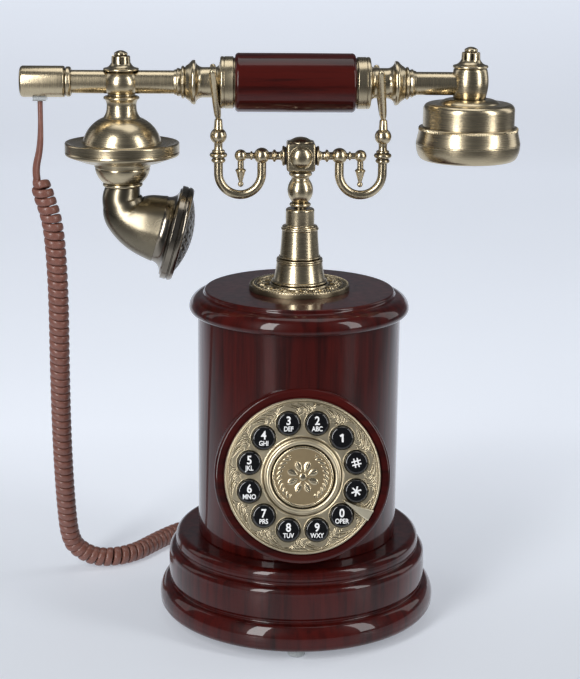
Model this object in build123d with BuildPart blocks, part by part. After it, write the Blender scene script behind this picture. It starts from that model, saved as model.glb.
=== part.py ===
"""Push-button desk telephone in antique pillar style.

Frame: millimetres, +Z up, origin on the pillar's axis at table level (under the feet).
The dial faces -Y. The handset lies along X, with its mouthpiece and cord at -X and its earpiece at +X.
"""

from build123d import *

import os
from math import atan2, cos, pi, radians, sin, sqrt, tan

os.makedirs("parts", exist_ok=True)

# ---------------------------------------------------------------- driving sizes

# Feet and wooden plinth
FOOT_R = 4.5
FOOT_CIRCLE_R = 62.0
FOOT_FIRST_ANGLE = -92.0
FLOOR_GAP = 5.0
COVER_R = 57.0
COVER_T = 2.0
SCREW_CIRCLE_R = 54.6
SCREW_R = 1.15
SCREW_HEAD_R = 2.2
PLINTH_CAVITY_R = 52.0
PLINTH_CAVITY_TOP = 36.0
PLINTH_TOP = 45.8
PLINTH_WIRE_HOLE_R = 20.0

# Wooden pillar and its cap
BODY_R = 52.3
BODY_WALL = 6.0
BODY_TOP = 164.3
CAP_TOP = 176.2
CAP_RIM_R = 56.7
CAP_DISC_R = 49.0
SPIGOT_DEPTH = 6.0

# Tilted dial
DIAL_TILT = 12.0
DIAL_CENTRE = (0.0, -62.06, 95.3)
BOSS_R = 43.6
BOSS_DEPTH = 26.0
BOSS_BORE_R = 34.0
BOARD_DEPTH = 6.0
BOARD_T = 1.6
PLATE_R = 38.6
PLATE_T = 1.4
KEY_CIRCLE_R = 27.2
KEY_R = 5.8
KEY_HOLE_R = 6.1
KEY_HEIGHT = 2.3
KEY_TAIL = 3.0
BEZEL_R = 17.3
BEZEL_TUBE_R = 1.3
MEDALLION_R = 15.3

# Brass column
ROD_R = 3.0
COLUMN_BORE_R = 3.06
ROD_FOOT = 150.0
COLLAR_TOP = 218.1
CRADLE_FOOT = 219.1

# Cradle
HEAD_SIZE = 14.4
HEAD_Z = 244.8
HOOK_X = 30.6
HOOK_R = 10.95
HOOK_WIRE_R = 2.3
HOOK_ARC_Z = 235.8
FORK_X = HOOK_X + HOOK_R
FORK_ROOT_Z = 262.6
FORK_HALF_ANGLE = 30.0
FORK_LEAN = 5.5
FORK_REACH = 29.4
PRONG_R = 1.4
PRONG_HALF_WIDTH = 1.75

# Handset
HANDSET_Z = 281.5
GRIP_X = -3.1
GRIP_R = 14.7
GRIP_HALF = 30.2
COLLAR_R = 12.95
COLLAR_END = 37.55
NECK_R = 7.6
RIDGE_R = 11.0
TUBE_R = 5.8
TUBE_END_X = -117.65
MOUTH_X = -89.9
EAR_X = 84.7
END_CAP_R = 7.8

# Mouthpiece horn: its mouth looks to +X and a little down
HORN_DROP = 15.2
HORN_R = 17.2
HORN_RIM_R = 24.3
GRILLE_R = 20.8

# Cord
CORD_D = 3.4
COIL_D = 10.8
JACK_X = -16.0
JACK_Z = 15.2
LINE_JACK_X = 16.0
PLUG_TAIL_Y = 82.0

# ---------------------------------------------------------------- planes and helpers

FRONT = Plane((0, 0, 0), x_dir=(1, 0, 0), z_dir=(0, -1, 0))
DIAL = Plane(
    DIAL_CENTRE,
    x_dir=(1, 0, 0),
    z_dir=(0, -cos(radians(DIAL_TILT)), sin(radians(DIAL_TILT))),
)
HANDSET_PLANE = Plane((GRIP_X, 0, HANDSET_Z), x_dir=(1, 0, 0), z_dir=(0, -1, 0))


def upright(x=0.0, z=0.0):
    """Sketch plane whose X is a radius and whose Y is a height, about the vertical axis through x."""
    return Plane((x, 0, z), x_dir=(1, 0, 0), z_dir=(0, -1, 0))


def outline(moves):
    """Closed wire through the moves: a point is a straight move, a pair of points is an arc through the first."""
    start = moves[0]
    at = start
    for move in moves[1:]:
        if isinstance(move[0], tuple):
            ThreePointArc(at, move[0], move[1])
            at = move[1]
        else:
            Line(at, move)
            at = move
    Line(at, start)


def turned(plane, moves, axis):
    """Solid of revolution of one profile. The profile's moves are (radius, height) for an upright plane."""
    with BuildPart() as piece:
        with BuildSketch(plane):
            with BuildLine():
                outline(moves)
            make_face()
        revolve(axis=axis)
    return piece


def turned_upright(moves, x=0.0):
    return turned(upright(x), moves, Axis((x, 0, 0), (0, 0, 1)))


def turned_along_x(moves):
    """Profile moves are (distance from the grip's middle, radius)."""
    return turned(HANDSET_PLANE, moves, Axis((0, 0, HANDSET_Z), (1, 0, 0)))


def dome(foot_r, foot, tip):
    """Arc of a sphere centred on the axis, from radius foot_r at height foot to the axis at tip."""
    rise = tip - foot
    sphere_r = (foot_r**2 + rise**2) / (2 * abs(rise))
    half = atan2(foot_r, sphere_r - abs(rise)) / 2
    sag = sphere_r * (1 - cos(half))
    if rise > 0:
        return ((sphere_r * sin(half), tip - sag), (0, tip))
    return ((sphere_r * sin(half), tip + sag), (0, tip))


def save(part, name):
    part.label = name
    export_step(part, f"parts/{name}.step")
    print(f"{name}: {part.volume:.0f} mm3, {len(part.solids())} solids")


# ---------------------------------------------------------------- plinth

with BuildPart() as rubber_feet:
    with BuildSketch():
        with PolarLocations(FOOT_CIRCLE_R, 4, start_angle=FOOT_FIRST_ANGLE):
            Circle(FOOT_R)
    extrude(amount=FLOOR_GAP)
    fillet(rubber_feet.faces().sort_by(Axis.Z)[0:4].edges(), radius=1.2)
save(rubber_feet.part, "rubber_feet")

PLINTH_PROFILE = [
    (PLINTH_CAVITY_R, FLOOR_GAP + COVER_T + 1.0),
    (COVER_R + 0.3, FLOOR_GAP + COVER_T + 1.0),
    (COVER_R + 0.3, FLOOR_GAP),
    (69.6, FLOOR_GAP),
    ((71.9, 6.1), (72.8, 9.2)),
    ((72.4, 14.2), (70.4, 17.9)),
    ((69.3, 18.6), (67.6, 18.8)),
    (67.3, 19.1),
    (67.3, 20.4),
    ((67.6, 20.8), (67.9, 21.3)),
    ((68.1, 27.5), (67.8, 34.0)),
    ((66.9, 36.8), (64.6, 37.9)),
    (64.0, 38.1),
    (64.0, 39.5),
    (64.3, 39.9),
    (64.4, 41.6),
    ((63.3, 44.6), (60.4, PLINTH_TOP)),
    (PLINTH_WIRE_HOLE_R, PLINTH_TOP),
    (PLINTH_WIRE_HOLE_R, PLINTH_CAVITY_TOP),
    (PLINTH_CAVITY_R, PLINTH_CAVITY_TOP),
]
base_plinth = turned_upright(PLINTH_PROFILE)
with base_plinth:
    # rear sockets for the two modular jacks, cut through the plinth's wall
    for jack_x in (JACK_X, LINE_JACK_X):
        with Locations((jack_x, 65.0, JACK_Z)):
            Box(13.0, 30.0, 13.0, mode=Mode.SUBTRACT)
    # pilot holes for the cover's screws, in the step that the cover lies against
    with Locations((0, 0, FLOOR_GAP + COVER_T + 1.0)):
        with PolarLocations(SCREW_CIRCLE_R, 3, start_angle=30):
            Cylinder(SCREW_R + 0.05, 20.0, align=(Align.CENTER, Align.CENTER, Align.MIN), mode=Mode.SUBTRACT)
save(base_plinth.part, "base_plinth")

with BuildPart() as bottom_cover:
    with BuildSketch(Plane.XY.offset(FLOOR_GAP + 1.0)):
        Circle(COVER_R)
        with PolarLocations(SCREW_CIRCLE_R, 3, start_angle=30):
            Circle(SCREW_R + 0.15, mode=Mode.SUBTRACT)
    extrude(amount=COVER_T)
save(bottom_cover.part, "bottom_cover")

with BuildPart() as cover_screws:
    with BuildSketch(Plane.XY.offset(FLOOR_GAP - 0.4)):
        with PolarLocations(SCREW_CIRCLE_R, 3, start_angle=30):
            Circle(SCREW_HEAD_R)
    extrude(amount=1.4)
    with BuildSketch(Plane.XY.offset(FLOOR_GAP + 0.8)):
        with PolarLocations(SCREW_CIRCLE_R, 3, start_angle=30):
            Circle(SCREW_R)
    extrude(amount=12.0)
save(cover_screws.part, "cover_screws")

with BuildPart() as ringer:
    with BuildSketch(Plane.XY.offset(FLOOR_GAP + 1.0 + COVER_T)):
        Circle(22.0)
    extrude(amount=7.0)
    with BuildSketch(Plane.XY.offset(FLOOR_GAP + 8.0 + COVER_T)):
        Circle(14.0)
    extrude(amount=6.0)
save(ringer.part, "ringer")


def jack(x, opening_depth):
    """Modular jack housing in the plinth's rear wall, with a socket open towards +Y."""
    with BuildPart() as housing:
        with Locations((x, 50.6, JACK_Z)):
            Box(12.8, 18.0, 12.8, align=(Align.CENTER, Align.MIN, Align.CENTER))
        with Locations((x, 68.6, JACK_Z - 0.4)):
            Box(10.0, opening_depth, 7.4, align=(Align.CENTER, Align.MAX, Align.CENTER), mode=Mode.SUBTRACT)
    return housing


handset_jack = jack(JACK_X, 12.0)
save(handset_jack.part, "handset_jack")
line_jack = jack(LINE_JACK_X, 12.0)
save(line_jack.part, "line_jack")

# ---------------------------------------------------------------- pillar

with BuildPart() as body_cylinder:
    with BuildSketch(Plane.XY.offset(PLINTH_TOP)):
        Circle(BODY_R)
        Circle(BODY_R - BODY_WALL, mode=Mode.SUBTRACT)
    extrude(amount=BODY_TOP - PLINTH_TOP)
    # small turned edge at the foot
    fillet(body_cylinder.edges().group_by(Axis.Z)[0].sort_by(SortBy.LENGTH)[-1], radius=0.7)
    with BuildSketch(DIAL.offset(-BOSS_DEPTH)):
        Circle(BOSS_R)
    extrude(amount=BOSS_DEPTH + 20.0, mode=Mode.SUBTRACT)
save(body_cylinder.part, "body_cylinder")

with BuildPart() as dial_boss:
    with BuildSketch(DIAL.offset(-BOSS_DEPTH)):
        Circle(BOSS_R)
    extrude(amount=BOSS_DEPTH)
    fillet(dial_boss.faces().sort_by(Axis(DIAL_CENTRE, DIAL.z_dir))[-1].edges(), radius=1.7)
    with BuildSketch(DIAL.offset(-BOARD_DEPTH - BOARD_T)):
        Circle(BOSS_BORE_R)
    extrude(amount=BOARD_DEPTH + BOARD_T, mode=Mode.SUBTRACT)
    with BuildSketch(DIAL.offset(-BOSS_DEPTH)):
        Circle(BOSS_BORE_R - 3.0)
    extrude(amount=BOSS_DEPTH, mode=Mode.SUBTRACT)
save(dial_boss.part, "dial_boss")

CAP_PROFILE = [
    (ROD_R + 3.0, CAP_TOP),
    (CAP_DISC_R - 0.8, CAP_TOP),
    ((CAP_DISC_R - 0.2, CAP_TOP - 0.25), (CAP_DISC_R, CAP_TOP - 0.9)),
    (CAP_DISC_R, CAP_TOP - 1.7),
    ((CAP_DISC_R + 0.4, CAP_TOP - 2.3), (CAP_DISC_R + 1.3, CAP_TOP - 2.5)),
    ((CAP_RIM_R - 1.5, CAP_TOP - 5.0), (CAP_RIM_R, CAP_TOP - 8.7)),
    ((CAP_RIM_R - 0.8, BODY_TOP + 0.9), (CAP_RIM_R - 3.1, BODY_TOP)),
    (BODY_R - BODY_WALL - 0.05, BODY_TOP),
    (BODY_R - BODY_WALL - 0.05, BODY_TOP - SPIGOT_DEPTH),
    (ROD_R + 3.0, BODY_TOP - SPIGOT_DEPTH),
]
top_cap = turned_upright(CAP_PROFILE)
save(top_cap.part, "top_cap")

with BuildPart() as hook_switch:
    switch_top = ROD_FOOT - 0.4
    with Locations((0, 0, switch_top)):
        Box(17.0, 11.0, 7.0, align=(Align.CENTER, Align.CENTER, Align.MAX))
    for side in (-1, 1):
        with Locations((side * 9.5, 0, switch_top - 7.0)):
            Box(2.0, 11.0, BODY_TOP - SPIGOT_DEPTH - switch_top + 7.0, align=(Align.CENTER, Align.CENTER, Align.MIN))
save(hook_switch.part, "hook_switch")

# ---------------------------------------------------------------- dial

with BuildPart() as dial_plate:
    with BuildSketch(DIAL):
        Circle(PLATE_R)
    extrude(amount=PLATE_T)
    fillet(dial_plate.faces().sort_by(Axis(DIAL_CENTRE, DIAL.z_dir))[-1].edges(), radius=0.6)
    with BuildSketch(DIAL):
        with PolarLocations(KEY_CIRCLE_R, 12, start_angle=15):
            Circle(KEY_HOLE_R)
    extrude(amount=PLATE_T, mode=Mode.SUBTRACT)
save(dial_plate.part, "dial_plate")

with BuildPart() as dial_bezel:
    with BuildSketch(Plane(DIAL.offset(PLATE_T).origin, x_dir=DIAL.x_dir, z_dir=DIAL.y_dir * -1)):
        with BuildLine():
            outline(
                [
                    (BEZEL_R - BEZEL_TUBE_R, 0),
                    (BEZEL_R + BEZEL_TUBE_R, 0),
                    (BEZEL_R + BEZEL_TUBE_R, 0.9),
                    ((BEZEL_R, 0.9 + BEZEL_TUBE_R), (BEZEL_R - BEZEL_TUBE_R, 0.9)),
                ]
            )
        make_face()
    revolve(axis=Axis(DIAL_CENTRE, DIAL.z_dir))
save(dial_bezel.part, "dial_bezel")

with BuildPart() as medallion:
    with BuildSketch(DIAL.offset(PLATE_T)):
        Circle(MEDALLION_R)
    extrude(amount=1.3)
    medallion_front = medallion.faces().sort_by(Axis(DIAL_CENTRE, DIAL.z_dir))[-1]
    fillet(medallion_front.edges(), radius=0.5)
    with BuildSketch(DIAL.offset(PLATE_T + 1.3)):
        Circle(MEDALLION_R - 1.6)
    extrude(amount=-0.5, mode=Mode.SUBTRACT)
save(medallion.part, "medallion")

# The stop is a curved brass wedge between the star and zero keys, 120 degrees round from the top
STOP_DIRECTION = 120.0
with BuildPart() as finger_stop:
    with BuildSketch(DIAL.offset(PLATE_T)):
        with Locations(Rotation(0, 0, 90 - STOP_DIRECTION)):
            with BuildLine():
                Polyline((24.5, 0.35), (31.0, 0.5), (38.4, 2.9), (38.4, -2.6), (31.0, -1.6), (24.5, -0.35), close=True)
            make_face()
    extrude(amount=1.8)
save(finger_stop.part, "finger_stop")

with BuildPart() as keypad_board:
    with BuildSketch(DIAL.offset(-BOARD_DEPTH - BOARD_T)):
        Circle(BOSS_BORE_R - 0.3)
    extrude(amount=BOARD_T)
save(keypad_board.part, "keypad_board")

# Keys clockwise from the top right, 30 degrees apart, the first at 15 degrees
KEY_NAMES = ["2", "1", "hash", "star", "0", "9", "8", "7", "6", "5", "4", "3"]
for place, key_name in enumerate(KEY_NAMES):
    clockwise = radians(15.0 + 30.0 * place)
    with BuildPart() as key:
        with BuildSketch(DIAL.offset(-KEY_TAIL)):
            with Locations((KEY_CIRCLE_R * sin(clockwise), KEY_CIRCLE_R * cos(clockwise))):
                Circle(KEY_R)
        extrude(amount=KEY_TAIL + PLATE_T + KEY_HEIGHT)
        fillet(key.faces().sort_by(Axis(DIAL_CENTRE, DIAL.z_dir))[-1].edges(), radius=1.5)
    save(key.part, f"key_{key_name}")

# ---------------------------------------------------------------- brass column

FLANGE_PROFILE = [
    (ROD_R + 3.0, CAP_TOP),
    (24.6, CAP_TOP),
    ((25.9, CAP_TOP + 1.5), (24.7, CAP_TOP + 3.1)),
    ((24.0, CAP_TOP + 3.4), (23.3, CAP_TOP + 3.0)),
    ((19.0, CAP_TOP + 2.5), (14.8, CAP_TOP + 3.0)),
    (13.6, CAP_TOP + 3.6),
    (ROD_R + 3.0, CAP_TOP + 3.6),
]
column_flange = turned_upright(FLANGE_PROFILE)
save(column_flange.part, "column_flange")

BELL_PROFILE = [
    (COLUMN_BORE_R + 1.0, CAP_TOP + 3.6),
    (14.1, CAP_TOP + 3.6),
    ((14.1, CAP_TOP + 4.4), (13.5, CAP_TOP + 4.9)),
    ((12.45, 184.6), (11.85, 190.4)),
    ((11.6, 191.7), (10.9, 192.3)),
    ((11.1, 193.1), (10.3, 193.7)),
    ((9.6, 200.5), (9.25, 207.2)),
    ((9.6, 207.8), (9.1, 208.5)),
    (8.2, 209.2),
    (COLUMN_BORE_R + 1.0, 209.2),
]
column_bell = turned_upright(BELL_PROFILE)
save(column_bell.part, "column_bell")

COLLAR_PROFILE = [
    (COLUMN_BORE_R, 209.2),
    (7.6, 209.2),
    (7.35, 209.9),
    (7.35, 216.6),
    ((7.2, 217.7), (6.3, COLLAR_TOP)),
    (COLUMN_BORE_R, COLLAR_TOP),
]
column_collar = turned_upright(COLLAR_PROFILE)
save(column_collar.part, "column_collar")

# ---------------------------------------------------------------- cradle

HEAD_BOTTOM = HEAD_Z - HEAD_SIZE / 2
STEM_PROFILE = [
    (0, ROD_FOOT),
    (ROD_R, ROD_FOOT),
    (ROD_R, CRADLE_FOOT),
    (4.6, CRADLE_FOOT),
    ((5.5, CRADLE_FOOT + 0.9), (4.6, CRADLE_FOOT + 1.8)),
    (4.1, CRADLE_FOOT + 2.2),
    ((6.5, 227.4), (4.9, 232.4)),
    ((4.5, 233.4), (4.9, 234.5)),
    ((5.9, 235.6), (5.2, 236.8)),
    (4.8, HEAD_BOTTOM),
    (0, HEAD_BOTTOM),
]
cradle_stem = turned_upright(STEM_PROFILE)
save(cradle_stem.part, "cradle_stem")

ROSETTE_R = 5.7
with BuildPart() as cradle_head:
    with Locations((0, 0, HEAD_Z)):
        Box(HEAD_SIZE, HEAD_SIZE, HEAD_SIZE)
    fillet(cradle_head.edges(), radius=1.3)
    # shallow dish round each rosette's seat, front and back
    for side in (-1, 1):
        with Locations(Location((0, side * HEAD_SIZE / 2, HEAD_Z), (90, 0, 0))):
            Cylinder(ROSETTE_R + 0.4, 1.2, mode=Mode.SUBTRACT)
save(cradle_head.part, "cradle_head")

ROSETTE_PROFILE = [(0, 0), (ROSETTE_R, 0), (ROSETTE_R, 0.6), (4.9, 0.8), dome(4.9, 0.8, 2.6)]
TOP_BUTTON_PROFILE = [(0, 0), (6.6, 0), (6.2, 0.5), (5.2, 0.7), dome(5.2, 0.7, 2.4)]
with BuildPart() as head_rosettes:
    for side in (-1, 1):
        seat_y = side * (HEAD_SIZE / 2 - 0.6)
        # the seat's X is a radius and its Y points out of the head
        seat = Plane((0, seat_y, HEAD_Z), x_dir=(1, 0, 0), z_dir=(0, 0, side))
        with BuildSketch(seat):
            with BuildLine():
                outline(ROSETTE_PROFILE)
            make_face()
        revolve(axis=Axis((0, 0, HEAD_Z), (0, 1, 0)))
    with BuildSketch(upright(0, HEAD_Z + HEAD_SIZE / 2)):
        with BuildLine():
            outline(TOP_BUTTON_PROFILE)
        make_face()
    revolve(axis=Axis((0, 0, 0), (0, 0, 1)))
save(head_rosettes.part, "head_rosettes")


def mirrored_pair(moves, plane, axis):
    """The same turned piece on the +X side and, mirrored, on the -X side."""
    with BuildPart() as pair:
        with BuildSketch(plane):
            with BuildLine():
                outline(moves)
            make_face()
        revolve(axis=axis)
        mirror(about=Plane.YZ)
    return pair


ARM_PLANE = Plane((0, 0, HEAD_Z), x_dir=(1, 0, 0), z_dir=(0, -1, 0))
ARM_AXIS = Axis((0, 0, HEAD_Z), (1, 0, 0))
HEAD_SIDE = HEAD_SIZE / 2

WASHER_R = 4.6
WASHER_T = 1.0
WASHER_PROFILE = [
    (HEAD_SIDE, 0),
    (HEAD_SIDE, WASHER_R),
    (HEAD_SIDE + WASHER_T, WASHER_R),
    (HEAD_SIDE + WASHER_T, 0),
]
arm_washers = mirrored_pair(WASHER_PROFILE, ARM_PLANE, ARM_AXIS)
save(arm_washers.part, "arm_washers")

INNER_BALL_X = HOOK_X - HOOK_R
INNER_BALL_R = 4.1
END_BALL_X = HOOK_X - 0.3
END_BALL_R = 3.15
ARM_NECK_R = 1.6
INNER_BALL_SIDE = sqrt(INNER_BALL_R**2 - ARM_NECK_R**2)
END_BALL_SIDE = sqrt(END_BALL_R**2 - ARM_NECK_R**2)
ARM_PROFILE = [
    (HEAD_SIDE + WASHER_T, 0),
    (HEAD_SIDE + WASHER_T, 4.9),
    ((HEAD_SIDE + 1.6, 5.1), (HEAD_SIDE + 2.2, 4.3)),
    ((HEAD_SIDE + 2.6, 2.7), (HEAD_SIDE + 3.6, 2.1)),
    (12.0, 2.1),
    (12.5, 2.4),
    ((13.3, 3.2), (14.1, 2.4)),
    (14.6, ARM_NECK_R),
    (INNER_BALL_X - INNER_BALL_SIDE, ARM_NECK_R),
    ((INNER_BALL_X, INNER_BALL_R), (INNER_BALL_X + INNER_BALL_SIDE, ARM_NECK_R)),
    (24.3, ARM_NECK_R),
    ((24.9, 2.3), (25.5, ARM_NECK_R)),
    (END_BALL_X - END_BALL_SIDE, ARM_NECK_R),
    ((END_BALL_X, END_BALL_R), (END_BALL_X + END_BALL_R, 0)),
]
SOCKET_DEPTH = 2.6
cradle_arms = mirrored_pair(ARM_PROFILE, ARM_PLANE, ARM_AXIS)
with cradle_arms:
    # sockets under the balls, for the hook's wire and for the drop finial
    for socket_x, socket_r in ((INNER_BALL_X, HOOK_WIRE_R), (END_BALL_X, 1.6)):
        for side in (-1, 1):
            with Locations((side * socket_x, 0, HEAD_Z - SOCKET_DEPTH)):
                Cylinder(socket_r, 6.0, align=(Align.CENTER, Align.CENTER, Align.MAX), mode=Mode.SUBTRACT)
save(cradle_arms.part, "cradle_arms")

FINIAL_TOP = HEAD_Z - SOCKET_DEPTH
DROP_NECK_R = 0.9
DROP_BALL_R = 1.5
DROP_BALL_Z = 230.3
FINIAL_PROFILE = [
    (0, FINIAL_TOP),
    (1.6, FINIAL_TOP),
    (1.6, 238.4),
    (2.5, 237.7),
    ((2.75, 237.2), (2.4, 236.6)),
    (DROP_NECK_R, DROP_BALL_Z + sqrt(DROP_BALL_R**2 - DROP_NECK_R**2)),
    ((DROP_BALL_R, DROP_BALL_Z), (0, DROP_BALL_Z - DROP_BALL_R)),
]
drop_finials = mirrored_pair(FINIAL_PROFILE, upright(END_BALL_X), Axis((END_BALL_X, 0, 0), (0, 0, 1)))
save(drop_finials.part, "drop_finials")

# Hook: a round wire bent into a U below the arm, then a turned collar, a ball and a tapered stem
INNER_LEG_TOP = HEAD_Z - SOCKET_DEPTH
OUTER_LEG_TOP = 242.0
STEM_FOOT = 257.0
FORK_NECK_Z = 264.6
HOOK_COLLAR_PROFILE = [
    (0, OUTER_LEG_TOP - 0.8),
    (2.7, OUTER_LEG_TOP - 0.8),
    ((3.6, OUTER_LEG_TOP + 0.5), (2.9, OUTER_LEG_TOP + 1.6)),
    ((4.5, OUTER_LEG_TOP + 2.9), (2.9, OUTER_LEG_TOP + 4.2)),
    ((3.3, OUTER_LEG_TOP + 4.9), (2.3, OUTER_LEG_TOP + 5.5)),
    ((2.1, OUTER_LEG_TOP + 7.2), (2.3, OUTER_LEG_TOP + 9.2)),
    ((4.2, OUTER_LEG_TOP + 12.6), (2.3, STEM_FOOT + 1.2)),
    (1.9, FORK_NECK_Z - 0.8),
    ((2.7, FORK_NECK_Z), (2.4, FORK_NECK_Z + 0.8)),
    (0, FORK_NECK_Z + 0.8),
]
with BuildPart() as cradle_hooks:
    with BuildLine():
        Line((INNER_BALL_X, 0, INNER_LEG_TOP), (INNER_BALL_X, 0, HOOK_ARC_Z))
        ThreePointArc(
            (INNER_BALL_X, 0, HOOK_ARC_Z),
            (HOOK_X, 0, HOOK_ARC_Z - HOOK_R),
            (FORK_X, 0, HOOK_ARC_Z),
        )
        Line((FORK_X, 0, HOOK_ARC_Z), (FORK_X, 0, OUTER_LEG_TOP))
    with BuildSketch(Plane((INNER_BALL_X, 0, INNER_LEG_TOP), x_dir=(1, 0, 0), z_dir=(0, 0, -1))):
        Circle(HOOK_WIRE_R)
    sweep()
    with BuildSketch(upright(FORK_X)):
        with BuildLine():
            outline(HOOK_COLLAR_PROFILE)
        make_face()
    revolve(axis=Axis((FORK_X, 0, 0), (0, 0, 1)))
    mirror(about=Plane.YZ)
save(cradle_hooks.part, "cradle_hooks")

# Fork: two prongs in a V, a little flattened, each with a small ball on its tip.
# Both forks lean the same way, towards the handset's middle, which lies left of the pillar's axis.
NECK_RING_TOP = FORK_NECK_Z + 0.8
with BuildPart() as cradle_forks:
    for fork_x in (-FORK_X, FORK_X):
        for side in (-1, 1):
            spread = radians(FORK_HALF_ANGLE)
            lean = radians(FORK_LEAN)
            along = (-sin(lean), side * sin(spread) * cos(lean), cos(spread) * cos(lean))
            foot = Plane((fork_x, 0, FORK_ROOT_Z), x_dir=(cos(lean), 0, 0), z_dir=along)
            with BuildSketch(foot):
                Ellipse(PRONG_HALF_WIDTH, PRONG_R)
            extrude(amount=FORK_REACH)
            tip = (fork_x + along[0] * FORK_REACH, along[1] * FORK_REACH, FORK_ROOT_Z + along[2] * FORK_REACH)
            with Locations(tip):
                Sphere(PRONG_HALF_WIDTH + 0.1)
        # the stem's ring carries the prongs, so their feet end on its top
        with Locations((fork_x, 0, NECK_RING_TOP)):
            Box(12, 12, 12, align=(Align.CENTER, Align.CENTER, Align.MAX), mode=Mode.SUBTRACT)
save(cradle_forks.part, "cradle_forks")

# ---------------------------------------------------------------- handset

GRIP_PROFILE = [
    (-GRIP_HALF, 0),
    (-GRIP_HALF, 12.6),
    ((-GRIP_HALF + 0.6, GRIP_R - 0.5), (-GRIP_HALF + 2.4, GRIP_R)),
    (GRIP_HALF - 2.4, GRIP_R),
    ((GRIP_HALF - 0.6, GRIP_R - 0.5), (GRIP_HALF, 12.6)),
    (GRIP_HALF, 0),
]
handset_grip = turned_along_x(GRIP_PROFILE)
save(handset_grip.part, "handset_grip")


def mirrored_handset_pair(moves):
    with BuildPart() as pair:
        with BuildSketch(HANDSET_PLANE):
            with BuildLine():
                outline(moves)
            make_face()
        revolve(axis=Axis((0, 0, HANDSET_Z), (1, 0, 0)))
        mirror(about=Plane.YZ.offset(GRIP_X))
    return pair


GRIP_COLLAR_PROFILE = [
    (GRIP_HALF, 0),
    (GRIP_HALF, 12.3),
    (GRIP_HALF + 0.6, 12.3),
    (GRIP_HALF + 0.6, COLLAR_R - 0.5),
    ((GRIP_HALF + 0.8, COLLAR_R - 0.1), (GRIP_HALF + 1.3, COLLAR_R)),
    (COLLAR_END - 0.9, COLLAR_R),
    ((COLLAR_END - 0.25, COLLAR_R - 0.3), (COLLAR_END, COLLAR_R - 1.0)),
    (COLLAR_END, 0),
]
grip_collars = mirrored_handset_pair(GRIP_COLLAR_PROFILE)
save(grip_collars.part, "grip_collars")

FERRULE_END = 60.4
FERRULE_PROFILE = [
    (COLLAR_END, 0),
    (COLLAR_END, 11.4),
    (COLLAR_END + 0.45, 9.6),
    ((COLLAR_END + 0.95, 8.3), (COLLAR_END + 2.2, NECK_R - 0.05)),
    (46.3, NECK_R - 0.05),
    ((48.7, 8.6), (49.9, 10.9)),
    ((51.1, RIDGE_R), (52.0, 10.4)),
    ((53.5, 8.9), (54.6, 8.2)),
    (55.1, 7.4),
    (55.6, 8.0),
    ((56.4, 8.1), (56.9, 7.4)),
    (57.2, 6.7),
    (58.0, 6.9),
    ((58.8, 7.0), (59.3, 6.4)),
    (FERRULE_END, 6.2),
    (FERRULE_END, 0),
]
grip_ferrules = mirrored_handset_pair(FERRULE_PROFILE)
save(grip_ferrules.part, "grip_ferrules")

DRUM_R = 9.3
SOCKET_X = 5.6
with BuildPart() as handset_tubes:
    for left, right in (
        (TUBE_END_X, MOUTH_X - SOCKET_X),
        (MOUTH_X + SOCKET_X, GRIP_X - FERRULE_END),
        (GRIP_X + FERRULE_END, EAR_X - SOCKET_X),
    ):
        with BuildSketch(Plane((left, 0, HANDSET_Z), x_dir=(0, 1, 0), z_dir=(1, 0, 0))):
            Circle(TUBE_R)
        extrude(amount=right - left)
save(handset_tubes.part, "handset_tubes")

END_CAP_PLANE = Plane((TUBE_END_X, 0, HANDSET_Z), x_dir=(-1, 0, 0), z_dir=(0, 1, 0))
END_CAP_PROFILE = [
    (-3.0, TUBE_R),
    (-3.0, 6.9),
    ((-2.6, 7.4), (-2.0, 7.4)),
    ((-0.6, 7.4), (-0.2, 6.5)),
    (0.2, 6.5),
    ((0.5, 7.5), (1.3, END_CAP_R)),
    (20.7, END_CAP_R),
    ((22.0, 7.2), (22.4, 6.0)),
    (22.4, 0),
    (0, 0),
    (0, TUBE_R),
]
end_cap = turned(END_CAP_PLANE, END_CAP_PROFILE, Axis((0, 0, HANDSET_Z), (1, 0, 0)))
PLUG_X = -130.4
PLUG_BOTTOM = 272.2
PLUG_SIZE = (6.6, 7.7, 7.6)
with end_cap:
    with Locations((PLUG_X, 0, PLUG_BOTTOM + PLUG_SIZE[2] + 0.5)):
        Box(7.0, 8.1, 14.0, align=(Align.CENTER, Align.CENTER, Align.MAX), mode=Mode.SUBTRACT)
save(end_cap.part, "end_cap")

# Mouthpiece fitting: a turned upright the tube passes into, on a spreading dome and disc
MOUTH_FITTING_PROFILE = [
    (0, 263.6),
    (9.5, 263.6),
    ((8.0, 266.2), (7.5, 269.2)),
    ((7.7, 271.6), (8.3, 272.8)),
    ((9.05, 273.6), (8.6, 274.4)),
    (6.9, 275.0),
    (6.9, 275.7),
    ((DRUM_R, 281.2), (7.2, 286.4)),
    (6.9, 286.9),
    (8.3, 287.2),
    ((8.95, 287.8), (8.4, 288.4)),
    ((6.1, 289.3), (5.0, 290.8)),
    (0, 290.8),
]
transmitter_fitting = turned_upright(MOUTH_FITTING_PROFILE, MOUTH_X)
with transmitter_fitting:
    with Locations(Location((MOUTH_X, 0, HANDSET_Z), (0, 90, 0))):
        for side in (-1, 1):
            with Locations((0, 0, side * (SOCKET_X + 10.0))):
                Cylinder(TUBE_R, 20.0, mode=Mode.SUBTRACT)
save(transmitter_fitting.part, "transmitter_fitting")

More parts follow.
